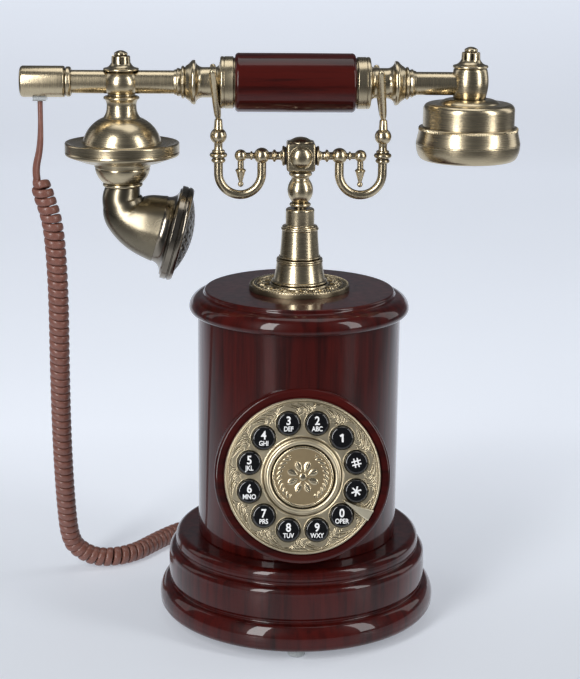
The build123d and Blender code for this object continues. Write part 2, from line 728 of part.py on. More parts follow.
EAR_FITTING_PROFILE = [
    (0, 273.8),
    (7.9, 273.8),
    ((DRUM_R, 281.6), (8.5, 288.6)),
    (8.1, 289.2),
    ((8.9, 289.9), (8.4, 290.8)),
    ((6.1, 291.8), (4.8, 293.6)),
    (0, 293.6),
]
receiver_fitting = turned_upright(EAR_FITTING_PROFILE, EAR_X)
with receiver_fitting:
    with Locations(Location((EAR_X - SOCKET_X - 10.0, 0, HANDSET_Z), (0, 90, 0))):
        Cylinder(TUBE_R, 20.0, mode=Mode.SUBTRACT)
save(receiver_fitting.part, "receiver_fitting")

# Finial nuts: slotted crown nut with a small domed knob
NUT_HEIGHT = 3.6
with BuildPart() as finial_nuts:
    for nut_x, nut_foot in ((MOUTH_X, 290.8), (EAR_X, 293.6)):
        with BuildSketch(Plane.XY.offset(nut_foot)):
            with Locations((nut_x, 0)):
                Circle(4.6)
                with PolarLocations(4.6, 8):
                    Rectangle(1.4, 1.5, mode=Mode.SUBTRACT)
        extrude(amount=NUT_HEIGHT)
        with BuildSketch(upright(nut_x, nut_foot + NUT_HEIGHT)):
            with BuildLine():
                outline([(0, 0), (2.7, 0), ((3.3, 1.0), (2.4, 2.0)), dome(2.4, 2.0, 2.7)])
            make_face()
        revolve(axis=Axis((nut_x, 0, 0), (0, 0, 1)))
save(finial_nuts.part, "finial_nuts")

BELL_FOOT = 229.0
DISC_R = 28.8
TRANSMITTER_PROFILE = [
    (0, 263.6),
    (9.7, 263.6),
    ((16.2, 258.9), (19.8, 251.7)),
    (20.6, 250.6),
    (24.5, 250.7),
    (27.8, 251.5),
    ((DISC_R, 251.2), (DISC_R, 250.3)),
    (DISC_R, 245.8),
    ((28.6, 245.1), (27.6, 244.6)),
    (20.2, 241.9),
    (14.5, 241.2),
    (14.2, 240.0),
    ((13.2, 235.6), (10.2, 231.3)),
    ((9.9, 230.2), (9.2, BELL_FOOT)),
    (0, BELL_FOOT),
]
transmitter_bell = turned_upright(TRANSMITTER_PROFILE, MOUTH_X)
save(transmitter_bell.part, "transmitter_bell")

# Horn: round sections swept through an elbow, each given by centre x, centre z, downward angle and radius
HORN_SECTIONS = [
    (MOUTH_X, BELL_FOOT, 90.0, 8.6),
    (-90.3, 221.5, 72.0, 10.2),
    (-88.0, 215.8, 50.0, 12.5),
    (-80.4, 210.4, 25.0, 15.4),
    (-71.6, 207.3, HORN_DROP, HORN_R),
]


def horn_plane(x, z, drop):
    """Plane square to the horn's line, which points drop degrees below +X."""
    forward = (cos(radians(drop)), 0, -sin(radians(drop)))
    return Plane((x, 0, z), x_dir=(0, 1, 0), z_dir=forward)


with BuildPart() as mouth_horn:
    for section_x, section_z, drop, section_r in HORN_SECTIONS:
        with BuildSketch(horn_plane(section_x, section_z, drop)):
            Circle(section_r)
    loft()
save(mouth_horn.part, "mouth_horn")

HORN_FORWARD = (cos(radians(HORN_DROP)), 0, -sin(radians(HORN_DROP)))
RIM_BACK = HORN_SECTIONS[-1][:2]
RIM_ACROSS = (sin(radians(HORN_DROP)), 0, cos(radians(HORN_DROP)))
RIM_PLANE = Plane((RIM_BACK[0], 0, RIM_BACK[1]), x_dir=RIM_ACROSS, z_dir=(0, -1, 0))
RIM_AXIS = Axis((RIM_BACK[0], 0, RIM_BACK[1]), HORN_FORWARD)
# Rim profile: (radius, distance in front of the horn's mouth, counted negative)
GRILLE_SEAT = -11.4
RIM_MOVES = [
    (0, 0),
    (HORN_R, 0),
    ((18.4, -3.6), (22.6, -5.4)),
    (22.8, -6.1),
    (HORN_RIM_R - 0.3, -6.1),
    (HORN_RIM_R, -6.4),
    (HORN_RIM_R, -9.0),
    (HORN_RIM_R - 0.5, -9.3),
    (HORN_RIM_R, -9.7),
    ((HORN_RIM_R - 0.1, -11.2), (HORN_RIM_R - 0.9, -12.3)),
    (GRILLE_R + 0.6, -12.5),
    (GRILLE_R, GRILLE_SEAT),
    (0, GRILLE_SEAT),
]
mouth_rim = turned(RIM_PLANE, RIM_MOVES, RIM_AXIS)
save(mouth_rim.part, "mouth_rim")

GRILLE_MOVES = [
    (0, GRILLE_SEAT),
    (GRILLE_R, GRILLE_SEAT),
    dome(GRILLE_R, GRILLE_SEAT, GRILLE_SEAT - 5.6),
]
mouth_grille = turned(RIM_PLANE, GRILLE_MOVES, RIM_AXIS)
save(mouth_grille.part, "mouth_grille")

RECEIVER_CUP_PROFILE = [
    (0, 273.8),
    (9.6, 273.8),
    ((12.8, 273.4), (15.0, 272.3)),
    (15.4, 271.9),
    (19.6, 271.8),
    ((22.2, 270.9), (23.1, 268.2)),
    (23.15, 259.4),
    (0, 259.4),
]
receiver_cup = turned_upright(RECEIVER_CUP_PROFILE, EAR_X)
save(receiver_cup.part, "receiver_cup")

EAR_CAP_PROFILE = [
    (0, 259.4),
    (24.4, 259.4),
    ((25.0, 259.2), (25.1, 258.6)),
    (25.7, 255.2),
    ((26.3, 253.4), (26.5, 251.6)),
    ((26.0, 247.8), (25.0, 245.0)),
    ((23.6, 243.6), (21.0, 243.3)),
    ((17.5, 243.7), (15.0, 244.9)),
    (9.0, 246.6),
    (0, 246.9),
]
receiver_cap = turned_upright(EAR_CAP_PROFILE, EAR_X)
with receiver_cap:
    # sound holes in the dished face
    with Locations((EAR_X, 0, 243.0)):
        with PolarLocations(5.0, 6):
            Cylinder(1.1, 9.0, align=(Align.CENTER, Align.CENTER, Align.MIN), mode=Mode.SUBTRACT)
save(receiver_cap.part, "receiver_cap")

# ---------------------------------------------------------------- cord and plugs

with BuildPart() as handset_plug:
    with Locations((PLUG_X, 0, PLUG_BOTTOM)):
        Box(*PLUG_SIZE, align=(Align.CENTER, Align.CENTER, Align.MIN))
save(handset_plug.part, "handset_plug")

with BuildPart() as base_plug:
    with Locations((JACK_X, 57.4, JACK_Z - 0.4)):
        Box(9.7, 15.6, 7.1, align=(Align.CENTER, Align.MIN, Align.CENTER))
    with Locations((JACK_X, 73.0, JACK_Z - 0.4)):
        Box(6.0, PLUG_TAIL_Y - 73.0, 4.4, align=(Align.CENTER, Align.MIN, Align.CENTER))
save(base_plug.part, "base_plug")

UPPER_LEAD_ROUTE = [
    (PLUG_X, 0, PLUG_BOTTOM),
    (PLUG_X, 0, 261.0),
    (-131.0, -0.2, 248.0),
    (-133.6, -0.2, 238.0),
    (-132.9, 0, 230.5),
]
COIL_ROUTE = [
    (-131.2, 0, 230.3),
    (-130.0, 0.2, 224.4),
    (-126.2, 1.2, 212.0),
    (-124.8, 3.0, 196.0),
    (-124.6, 9.0, 168.0),
    (-126.2, 21.0, 126.0),
    (-127.5, 36.0, 80.0),
    (-127.4, 47.5, 42.0),
    (-126.2, 54.5, 17.2),
    (-119.8, 56.0, 9.9),
    (-110.8, 56.4, 5.7),
    (-99.0, 58.0, 5.7),
    (-89.2, 65.2, 5.7),
    (-82.4, 75.6, 5.7),
    (-75.3, 86.0, 5.7),
    (-66.5, 97.0, 5.7),
    (-54.5, 106.6, 5.7),
    (-40.0, 109.0, 5.7),
]
LOWER_LEAD_ROUTE = [
    (JACK_X, PLUG_TAIL_Y, JACK_Z - 0.4),
    (JACK_X, 95.0, 13.6),
    (-18.4, 107.0, 6.8),
    (-28.2, 110.95, 2.1),
    (-40.0, 109.0, 2.1),
]


def arc_radii(route):
    """Each corner's arc is as large as its two runs allow."""
    points = [Vector(*p) for p in route]
    radii = []
    for before, at, after in zip(points, points[1:], points[2:]):
        run_in = at - before
        run_out = after - at
        half_turn = radians(run_in.get_angle(run_out)) / 2
        radii.append(0.45 * min(run_in.length, run_out.length) / tan(half_turn))
    return radii


def cord_tube(name, route, diameter):
    radii = arc_radii(route)
    print(name, "arc radii:", ", ".join(f"{r:.1f}" for r in radii))
    start = Vector(*route[0])
    heading = Vector(*route[1]) - start
    with BuildPart() as tube:
        with BuildLine() as path:
            FilletPolyline(*route, radius=radii)
        with BuildSketch(Plane(start, z_dir=heading)):
            Circle(diameter / 2)
        sweep()
    length = sum(edge.length for edge in path.edges())
    section = pi * diameter**2 / 4
    print(f"{name}: length {length:.1f} mm, volume over section {tube.part.volume / section:.1f} mm")
    save(tube.part, name)


cord_tube("cord_upper_lead", UPPER_LEAD_ROUTE, CORD_D)
cord_tube("cord_coil", COIL_ROUTE, COIL_D)
cord_tube("cord_lower_lead", LOWER_LEAD_ROUTE, CORD_D)
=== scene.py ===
"""Looks of the push-button telephone in antique pillar style.

Everything is in the row frame: metres in Blender, millimetres in the named sizes and profiles below.
+Z is up, -Y is the dial's side, and the handset lies along X.
"""

import math

import bmesh
import bpy
import numpy as np
from mathutils import Matrix, Vector


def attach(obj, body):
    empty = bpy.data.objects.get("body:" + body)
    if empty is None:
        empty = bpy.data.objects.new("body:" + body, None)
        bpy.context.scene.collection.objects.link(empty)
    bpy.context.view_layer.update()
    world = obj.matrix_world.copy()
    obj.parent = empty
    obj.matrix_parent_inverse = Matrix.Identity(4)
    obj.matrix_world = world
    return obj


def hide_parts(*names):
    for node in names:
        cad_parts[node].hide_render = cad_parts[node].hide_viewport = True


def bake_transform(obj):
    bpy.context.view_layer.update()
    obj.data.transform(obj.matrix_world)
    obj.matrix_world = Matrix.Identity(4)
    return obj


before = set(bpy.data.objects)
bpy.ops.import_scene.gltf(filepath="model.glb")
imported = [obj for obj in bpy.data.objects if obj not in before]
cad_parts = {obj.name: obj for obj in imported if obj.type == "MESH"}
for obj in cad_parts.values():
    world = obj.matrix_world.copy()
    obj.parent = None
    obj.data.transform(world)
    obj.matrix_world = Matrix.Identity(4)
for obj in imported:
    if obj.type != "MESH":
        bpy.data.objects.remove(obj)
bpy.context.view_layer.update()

MM = 0.001
# Segments round a turned piece, and round the wide wooden ones
SEGMENTS = 144
FINE_SEGMENTS = 216

# ---------------------------------------------------------------- sizes shared with the CAD, in millimetres

PLINTH_TOP = 45.8
BODY_R = 52.3
BODY_TOP = 164.3
CAP_TOP = 176.2
CAP_RIM_R = 56.7
CAP_DISC_R = 49.0

DIAL_TILT = math.radians(12)
DIAL_CENTRE = Vector((0, -62.06, 95.3))
BOSS_R = 43.6
BOSS_DEPTH = 26.0
PLATE_R = 38.6
PLATE_T = 1.4
KEY_CIRCLE_R = 27.2
KEY_R = 5.8
KEY_HEIGHT = 2.3

HEAD_SIZE = 14.4
HEAD_Z = 244.8
HOOK_X = 30.6
HOOK_R = 10.95
HOOK_WIRE_R = 2.3
HOOK_ARC_Z = 235.8
FORK_X = HOOK_X + HOOK_R
FORK_ROOT_Z = 262.6
FORK_HALF_ANGLE = math.radians(30)
FORK_LEAN = math.radians(5.5)

HANDSET_Z = 281.5
GRIP_X = -3.1
GRIP_R = 14.7
GRIP_HALF = 30.2
COLLAR_R = 12.95
COLLAR_END = 37.55
NECK_R = 7.6
RIDGE_R = 11.0
TUBE_R = 5.8
TUBE_END_X = -117.65
MOUTH_X = -89.9
EAR_X = 84.7
END_CAP_R = 7.8
DRUM_R = 9.3
SOCKET_X = 5.6

# in degrees
HORN_DROP = 15.2
HORN_R = 17.2
HORN_RIM_R = 24.3
GRILLE_R = 20.8

CORD_HALF_WIDTH = 2.05
CORD_HALF_THICKNESS = 1.3
COIL_R = 4.05
PLUG_X = -130.4
PLUG_BOTTOM = 272.2
JACK_X = -16.0
JACK_Z = 15.2
PLUG_TAIL_Y = 82.0

UP = Vector((0, 0, 1))
RIGHT = Vector((1, 0, 0))
DIAL_OUT = Vector((0, -math.cos(DIAL_TILT), math.sin(DIAL_TILT)))


# ---------------------------------------------------------------- materials


class Recipe:
    """A node material under construction. Plain numbers go straight on the sockets."""

    def __init__(self, name):
        self.material = bpy.data.materials.new(name)
        self.material.use_nodes = True
        self.tree = self.material.node_tree
        self.shader = self.tree.nodes["Principled BSDF"]
        self.coords = self.tree.nodes.new("ShaderNodeTexCoord").outputs["Object"]

    def set(self, **sockets):
        for name, value in sockets.items():
            self.shader.inputs[name.replace("_", " ")].default_value = value

    def link(self, output, socket_name):
        self.tree.links.new(output, self.shader.inputs[socket_name])

    def stretched(self, scale):
        """Object coordinates in metres, multiplied per axis."""
        node = self.tree.nodes.new("ShaderNodeMapping")
        node.inputs["Scale"].default_value = scale
        self.tree.links.new(self.coords, node.inputs["Vector"])
        return node.outputs["Vector"]

    def noise(self, scale, stretch=(1, 1, 1), detail=4.0, roughness=0.55, distortion=0.0):
        node = self.tree.nodes.new("ShaderNodeTexNoise")
        node.inputs["Scale"].default_value = scale
        node.inputs["Detail"].default_value = detail
        node.inputs["Roughness"].default_value = roughness
        node.inputs["Distortion"].default_value = distortion
        self.tree.links.new(self.stretched(stretch), node.inputs["Vector"])
        return node.outputs["Fac"]

    def ramp(self, source, stops):
        node = self.tree.nodes.new("ShaderNodeValToRGB")
        elements = node.color_ramp.elements
        while len(elements) < len(stops):
            elements.new(0.5)
        for element, (place, colour) in zip(elements, stops):
            element.position = place
            element.color = (*colour, 1) if len(colour) == 3 else colour
        self.tree.links.new(source, node.inputs["Fac"])
        return node.outputs["Color"]

    def span(self, source, low, high, from_low=0.0, from_high=1.0):
        node = self.tree.nodes.new("ShaderNodeMapRange")
        node.inputs["From Min"].default_value = from_low
        node.inputs["From Max"].default_value = from_high
        node.inputs["To Min"].default_value = low
        node.inputs["To Max"].default_value = high
        self.tree.links.new(source, node.inputs["Value"])
        return node.outputs["Result"]

    def mix(self, factor, a, b):
        node = self.tree.nodes.new("ShaderNodeMix")
        node.data_type = "RGBA"
        for socket, value in (("Factor", factor), ("A", a), ("B", b)):
            target = next(i for i in node.inputs if i.name == socket and i.enabled)
            if isinstance(value, bpy.types.NodeSocket):
                self.tree.links.new(value, target)
            elif isinstance(value, float):
                target.default_value = value
            else:
                target.default_value = (*value, 1)
        return next(o for o in node.outputs if o.enabled)

    def axes(self):
        """Object coordinates in metres, one output per axis."""
        node = self.tree.nodes.new("ShaderNodeSeparateXYZ")
        self.tree.links.new(self.coords, node.inputs["Vector"])
        return node.outputs

    def calculate(self, operation, *terms):
        """Result of a Math node. Each term is an output or a plain number."""
        node = self.tree.nodes.new("ShaderNodeMath")
        node.operation = operation
        for socket, term in zip(node.inputs, terms):
            if isinstance(term, bpy.types.NodeSocket):
                self.tree.links.new(term, socket)
            else:
                socket.default_value = term
        return node.outputs["Value"]

    def hollows(self, distance):
        """1 on open surface, towards 0 in hollows and grooves."""
        node = self.tree.nodes.new("ShaderNodeAmbientOcclusion")
        node.inputs["Distance"].default_value = distance
        node.samples = 6
        return node.outputs["AO"]

    def bump(self, height, strength, distance):
        node = self.tree.nodes.new("ShaderNodeBump")
        node.inputs["Strength"].default_value = strength
        node.inputs["Distance"].default_value = distance
        self.tree.links.new(height, node.inputs["Height"])
        self.tree.links.new(node.outputs["Normal"], self.shader.inputs["Normal"])


def make_brass(name, marks, bright=(0.57, 0.48, 0.325), dark=(0.13, 0.095, 0.052), polish=0.25):
    """Antique brass. marks stretches the fine turning or brushing lines across the part's axis."""
    recipe = Recipe(name)
    recipe.set(Metallic=1.0)
    patches = recipe.noise(38, detail=4.0, roughness=0.55)
    lines = recipe.noise(1.0, stretch=marks, detail=2.0)
    dull = [c * 0.72 for c in bright]
    rubbed = [c * 1.10 for c in bright]
    patina = recipe.ramp(patches, [(0.22, dull), (0.50, bright), (0.80, rubbed)])
    lined = recipe.mix(recipe.span(lines, 0.0, 0.09), patina, recipe.mix(0.5, patina, dark))
    open_surface = recipe.span(recipe.hollows(0.0016), 0.0, 1.0, 0.25, 0.80)
    recipe.link(recipe.mix(open_surface, [c * 0.45 for c in dark], lined), "Base Color")
    recipe.link(recipe.span(lines, polish - 0.02, polish + 0.05, 0.3, 0.75), "Roughness")
    recipe.bump(lines, 0.01, 0.00005)
    return recipe.material


def make_wood(name, deep, warm, along=(1, 1, 0.06)):
    """Dark mahogany with faint grain along one axis, under thick gloss lacquer."""
    recipe = Recipe(name)
    grain = recipe.noise(260, stretch=along, detail=6.0, roughness=0.62, distortion=0.25)
    figure = recipe.noise(28, stretch=along, detail=3.0, distortion=1.2)
    tone = recipe.ramp(figure, [(0.30, deep), (0.72, warm)])
    pores = recipe.ramp(grain, [(0.36, [c * 0.35 for c in deep]), (0.56, warm)])
    recipe.link(recipe.mix(0.42, tone, pores), "Base Color")
    recipe.link(recipe.span(grain, 0.42, 0.30), "Roughness")
    recipe.set(Specular_IOR_Level=0.1, Coat_Weight=1.0, Coat_Roughness=0.03, Coat_IOR=1.34)
    recipe.bump(recipe.noise(42, detail=2.0), 0.04, 0.0005)
    return recipe.material


def make_plastic(name, dark, light, roughness, coat=0.0, grain=900, bump=0.06, **extra):
    """Moulded plastic or rubber, a little mottled."""
    recipe = Recipe(name)
    mottle = recipe.noise(grain, detail=3.0)
    recipe.link(recipe.ramp(mottle, [(0.3, dark), (0.7, light)]), "Base Color")
    recipe.link(recipe.span(mottle, roughness * 0.85, roughness * 1.15, 0.3, 0.7), "Roughness")
    recipe.set(Coat_Weight=coat, Coat_Roughness=0.05, **extra)
    recipe.bump(mottle, bump, 0.0002)
    return recipe.material


# Stretch of the fine marks: turned lines run round the part's axis, brushing has no direction
TURNED_Z = (30, 30, 5200)
TURNED_X = (5200, 30, 30)
BRUSHED_DIAL = (420, 420, 420)
SMUDGED = (70, 70, 70)

brass_z = make_brass("antique_brass_upright", TURNED_Z)
brass_x = make_brass("antique_brass_handset", TURNED_X)
brass_fine = make_brass("antique_brass_fine", BRUSHED_DIAL)
# Much darker copy of the antique brass for the mouthpiece elbow: painted shade
horn_brass_painted_shade = make_brass(
    "antique_brass_horn", SMUDGED, bright=(0.22, 0.19, 0.135), dark=(0.07, 0.05, 0.03), polish=0.27
)
brass_dial = make_brass(
    "antique_brass_dial", BRUSHED_DIAL, bright=(0.66, 0.57, 0.40), dark=(0.26, 0.21, 0.13), polish=0.36
)
brass_dark = make_brass(
    "antique_brass_hollows", BRUSHED_DIAL, bright=(0.18, 0.145, 0.095), dark=(0.08, 0.06, 0.035), polish=0.4
)
brass_field = make_brass(
    "bronze_medallion_field", BRUSHED_DIAL, bright=(0.33, 0.255, 0.15), dark=(0.14, 0.10, 0.05), polish=0.5
)
rim_metal = make_brass(
    "worn_rim_metal", BRUSHED_DIAL, bright=(0.29, 0.255, 0.205), dark=(0.09, 0.075, 0.055), polish=0.18
)
brass_bright = make_brass(
    "polished_brass", BRUSHED_DIAL, bright=(0.92, 0.84, 0.64), dark=(0.5, 0.42, 0.28), polish=0.42
)
grille_dark = make_brass(
    "dark_grille_metal", BRUSHED_DIAL, bright=(0.17, 0.16, 0.14), dark=(0.06, 0.05, 0.04), polish=0.3
)
wood_body = make_wood("mahogany_body", (0.015, 0.0013, 0.0011), (0.066, 0.0050, 0.0033))
wood_boss = make_wood("mahogany_boss", (0.015, 0.0013, 0.0011), (0.060, 0.0045, 0.0030), along=(0.06, 1, 1))
wood_grip = make_wood("mahogany_grip", (0.020, 0.0016, 0.0012), (0.078, 0.0064, 0.0038), along=(0.06, 1, 1))
key_black = make_plastic("key_black", (0.0030, 0.0030, 0.0034), (0.0055, 0.0055, 0.0062), 0.14, coat=0.5)
key_white = make_plastic("key_white", (0.80, 0.80, 0.80), (0.88, 0.88, 0.87), 0.4)
foot_rubber = make_plastic(
    "foot_rubber", (0.38, 0.40, 0.40), (0.52, 0.54, 0.53), 0.45, Transmission_Weight=0.35
)
inner_black = make_plastic("inner_black", (0.016, 0.016, 0.018), (0.030, 0.030, 0.032), 0.5)
board_green = make_plastic("board_green", (0.012, 0.05, 0.022), (0.02, 0.085, 0.035), 0.4)
screw_steel = make_brass(
    "screw_steel", BRUSHED_DIAL, bright=(0.6, 0.6, 0.6), dark=(0.25, 0.25, 0.25), polish=0.3
)
cord_vinyl = make_plastic(
    "cord_vinyl", (0.175, 0.070, 0.050), (0.225, 0.094, 0.070), 0.38, coat=0.15, grain=400, bump=0.03
)
clear_plastic = make_plastic(
    "clear_plastic", (0.62, 0.64, 0.63), (0.74, 0.76, 0.75), 0.16, Transmission_Weight=0.7, IOR=1.49
)
# Near black that stands in for shade: painted shade in gaps, holes and behind the grille
painted_gap_shade = make_plastic("painted_gap_shade", (0.006, 0.005, 0.004), (0.012, 0.010, 0.008), 0.6)


# ---------------------------------------------------------------- mesh helpers


def arc(start, middle, end, steps):
    """Points after start on the circle through three points of a plane."""
    ax, ay = start
    bx, by = middle
    cx, cy = end
    turn = 2 * (ax * (by - cy) + bx * (cy - ay) + cx * (ay - by))
    a2, b2, c2 = ax * ax + ay * ay, bx * bx + by * by, cx * cx + cy * cy
    ux = (a2 * (by - cy) + b2 * (cy - ay) + c2 * (ay - by)) / turn
    uy = (a2 * (cx - bx) + b2 * (ax - cx) + c2 * (bx - ax)) / turn
    radius = math.hypot(ax - ux, ay - uy)
    first = math.atan2(ay - uy, ax - ux)
    half = (math.atan2(by - uy, bx - ux) - first) % math.tau
    sweep = (math.atan2(cy - uy, cx - ux) - first) % math.tau
    if half > sweep:
        sweep -= math.tau
    points = []
    for i in range(1, steps + 1):
        turn = first + sweep * i / steps
        points.append((ux + radius * math.cos(turn), uy + radius * math.sin(turn)))
    return points


def profile(moves, steps=8):
    """Points of an outline: each move is a point, or a pair of points for an arc through the first."""
    points = [moves[0]]
    for move in moves[1:]:
        if isinstance(move[0], tuple):
            points += arc(points[-1], move[0], move[1], steps)
        else:
            points.append(move)
    return points


def dome(foot_r, foot, tip):
    """Sphere's arc centred on the axis, from radius foot_r at height foot to the axis at tip."""
    rise = tip - foot
    sphere_r = (foot_r**2 + rise**2) / (2 * abs(rise))
    half = math.atan2(foot_r, sphere_r - abs(rise)) / 2
    sag = math.copysign(sphere_r * (1 - math.cos(half)), rise)
    return ((sphere_r * math.sin(half), tip - sag), (0, tip))


def placed(origin, axis, across=None):
    """Matrix in metres that puts local Z along axis and local X along across, at origin in millimetres."""
    out = Vector(axis).normalized()
    if across is None:
        across = UP if abs(out.z) < 0.9 else RIGHT
    side = (across - out * across.dot(out)).normalized()
    other = out.cross(side)
    turn = Matrix((side, other, out)).transposed().to_4x4()
    return Matrix.Translation(Vector(origin) * MM) @ turn @ Matrix.Scale(MM, 4)


def new_piece(name, verts, faces, matrix, material, smooth_angle=35):
    """Object with one mesh and one material. The matrix takes the vertices to metres."""
    mesh = bpy.data.meshes.new(name)
    mesh.from_pydata([matrix @ Vector(v) for v in verts], [], faces)
    mesh.validate()
    tidy = bmesh.new()
    tidy.from_mesh(mesh)
    bmesh.ops.remove_doubles(tidy, verts=tidy.verts, dist=1e-7)
    bmesh.ops.recalc_face_normals(tidy, faces=tidy.faces)
    tidy.to_mesh(mesh)
    tidy.free()
    mesh.polygons.foreach_set("use_smooth", [True] * len(mesh.polygons))
    mesh.set_sharp_from_angle(angle=math.radians(smooth_angle))
    mesh.materials.append(material)
    piece = bpy.data.objects.new(name, mesh)
    bpy.context.collection.objects.link(piece)
    return piece


def band(low, high, count):
    """Quads between two rings of count vertices, which start at vertices low and high."""
    quads = []
    for k in range(count):
        n = (k + 1) % count
        quads.append([low + k, low + n, high + n, high + k])
    return quads


def end_faces(total, count):
    """Faces over the first and the last ring of a body with total vertices."""
    return [list(range(count))[::-1], list(range(total - count, total))]


def baked(piece):
    """The piece with its modifiers applied."""
    mesh = bpy.data.meshes.new_from_object(piece.evaluated_get(bpy.context.evaluated_depsgraph_get()))
    piece.modifiers.clear()
    piece.data = mesh
    return piece


def lathe_data(moves, segments, steps, ripple):
    """Turned surface about local Z. A profile that leaves the axis at both ends is closed on itself.

    ripple(radius, height, turn), where given, is added to each point's radius.
    """
    points = profile(moves, steps)
    verts, rings = [], []
    for radius, height in points:
        if radius < 1e-6:
            rings.append([len(verts)])
            verts.append((0, 0, height))
            continue
        ring = []
        for i in range(segments):
            turn = math.tau * i / segments
            r = radius + (ripple(radius, height, turn) if ripple else 0.0)
            ring.append(len(verts))
            verts.append((r * math.cos(turn), r * math.sin(turn), height))
        rings.append(ring)
    pairs = list(zip(rings, rings[1:]))
    if len(rings[0]) > 1 and len(rings[-1]) > 1:
        pairs.append((rings[-1], rings[0]))
    faces = []
    for a, b in pairs:
        for i in range(segments):
            j = (i + 1) % segments
            if len(a) == 1:
                faces.append([a[0], b[j], b[i]])
            elif len(b) == 1:
                faces.append([a[i], a[j], b[0]])
            else:
                faces.append([a[i], a[j], b[j], b[i]])
    return verts, faces


def turned(
    name, moves, material, origin=(0, 0, 0), axis=UP, segments=SEGMENTS, steps=8, ripple=None, angle=35
):
    """Turned piece. Profile moves are (radius, distance along the axis) in millimetres."""
    verts, faces = lathe_data(moves, segments, steps, ripple)
    return new_piece(name, verts, faces, placed(origin, axis), material, angle)


def turned_along_x(name, moves, material, centre_x=0.0, mirror=False, **options):
    """Turned piece with moves of (distance along X, radius), mirrored about centre_x if asked."""
    swapped = []
    for move in moves:
        if isinstance(move[0], tuple):
            swapped.append(tuple((r, u) for u, r in move))
        else:
            swapped.append((move[1], move[0]))
    axis = -RIGHT if mirror else RIGHT
    height = options.pop("height", HANDSET_Z)
    return turned(name, swapped, material, (centre_x, 0, height), axis, **options)


def join(name, pieces):
    """One object from several, keeping the first one's material."""
    verts, faces = [], []
    for piece in pieces:
        base = len(verts)
        verts += [v.co.copy() for v in piece.data.vertices]
        faces += [[base + i for i in p.vertices] for p in piece.data.polygons]
    material = pieces[0].data.materials[0]
    for piece in pieces:
        bpy.data.objects.remove(piece)
    return new_piece(name, verts, faces, Matrix.Identity(4), material)


def mirrored_pair(name, moves, material, centre_x=0.0, **options):
    """One object from a piece turned along X and its mirror image about centre_x."""
    right = turned_along_x(name, moves, material, centre_x, **options)
    left = turned_along_x(name, moves, material, centre_x, mirror=True, **options)
    return join(name, [right, left])


def tube(name, points, radii, material, segments=20):
    """Round bar along points in millimetres, with one radius per point."""
    points = [Vector(p) for p in points]
    verts, faces, tangents = [], [], []
    for i in range(len(points)):
        a = points[max(i - 1, 0)]
        b = points[min(i + 1, len(points) - 1)]
        tangents.append((b - a).normalized())
    side = tangents[0].orthogonal().normalized()
    for i, (point, tangent, radius) in enumerate(zip(points, tangents, radii)):
        side = (side - tangent * side.dot(tangent)).normalized()
        other = tangent.cross(side)
        for k in range(segments):
            turn = math.tau * k / segments
            verts.append(point + (side * math.cos(turn) + other * math.sin(turn)) * radius)
        if i:
            faces += band((i - 1) * segments, i * segments, segments)
    faces += end_faces(len(verts), segments)
    return new_piece(name, verts, faces, Matrix.Scale(MM, 4), material)


def settle(piece, body, slot, *nodes):
    """The piece rides on its body and replaces the CAD nodes named. slot is not used."""
    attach(piece, body)
    if nodes:
        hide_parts(*nodes)


def turned_brass(name, moves, body, node, x=0.0, **options):
    """Upright turned brass piece at x, in place of a CAD node."""
    piece = turned(name, moves, brass_z, (x, 0, 0), **options)
    settle(piece, body, "antique_brass", node)


def dial_point(x, y, out=0.0):
    """Point in millimetres of the dial's face: x to the right, y up the face, out from it."""
    up = Vector((0, math.sin(DIAL_TILT), math.cos(DIAL_TILT)))
    return DIAL_CENTRE + RIGHT * x + up * y + DIAL_OUT * out


def dial_matrix(x=0.0, y=0.0, out=0.0):
    return placed(dial_point(x, y, out), DIAL_OUT, RIGHT)


# ---------------------------------------------------------------- cord

CORD_ROUTE = [
    (PLUG_X, 0, PLUG_BOTTOM),
    (PLUG_X, 0, 261.0),
    (-131.0, -0.2, 248.0),
    (-133.6, -0.2, 238.0),
    (-132.9, 0, 230.5),
    (-131.2, 0, 230.3),
    (-130.0, 0.2, 224.4),
    (-126.2, 1.2, 212.0),
    (-124.8, 3.0, 196.0),
    (-124.6, 9.0, 168.0),
    (-126.2, 21.0, 126.0),
    (-127.5, 36.0, 80.0),
    (-127.4, 47.5, 42.0),
    (-126.2, 54.5, 17.2),
    (-119.8, 56.0, 9.9),
    (-110.8, 56.4, 5.7),
    (-99.0, 58.0, 5.7),
    (-89.2, 65.2, 5.7),
    (-82.4, 75.6, 5.7),
    (-75.3, 86.0, 5.7),
    (-66.5, 97.0, 5.7),
    (-54.5, 106.6, 5.7),
    (-40.0, 109.0, 5.7),
    (-28.2, 110.95, 2.1),
    (-18.4, 107.0, 6.8),
    (JACK_X, 95.0, 13.6),
    (JACK_X, PLUG_TAIL_Y, JACK_Z - 0.4),
]
# Running lengths and pitches in metres
COIL_STARTS = 0.0395
COIL_ENDS = 0.376
COIL_RAMP = 0.006
HANGING_PITCH = 0.0045
LYING_PITCH = 0.0043
LYING_BELOW = 0.05
HANGING_ABOVE = 0.01
LEAD_STEP = 0.001
CORD_PROBE = 0.001
LAST_GAP = 0.0004
STEPS_PER_TURN = 28
LEAD_TWIST = math.radians(55)
# Exponent below 1 that squares off the flattened wire's round section
WIRE_SQUARENESS = 0.75


def route_line(name, points):
    """Points along the route's NURBS spline, in metres."""
    curve = bpy.data.curves.new(name, "CURVE")
    curve.dimensions = "3D"
    curve.resolution_u = 24
    spline = curve.splines.new("NURBS")
    spline.points.add(len(points) - 1)
    for target, point in zip(spline.points, points):
        target.co = (*(Vector(point) * MM), 1)
    spline.order_u = 3
    spline.use_endpoint_u = True
    guide = bpy.data.objects.new(name, curve)
    bpy.context.collection.objects.link(guide)
    mesh = bpy.data.meshes.new_from_object(guide)
    line = [v.co.copy() for v in mesh.vertices]
    bpy.data.objects.remove(guide)
    return line


def along(line):
    """Running length at each point of a line."""
    lengths = [0.0]
    for a, b in zip(line, line[1:]):
        lengths.append(lengths[-1] + (b - a).length)
    return lengths


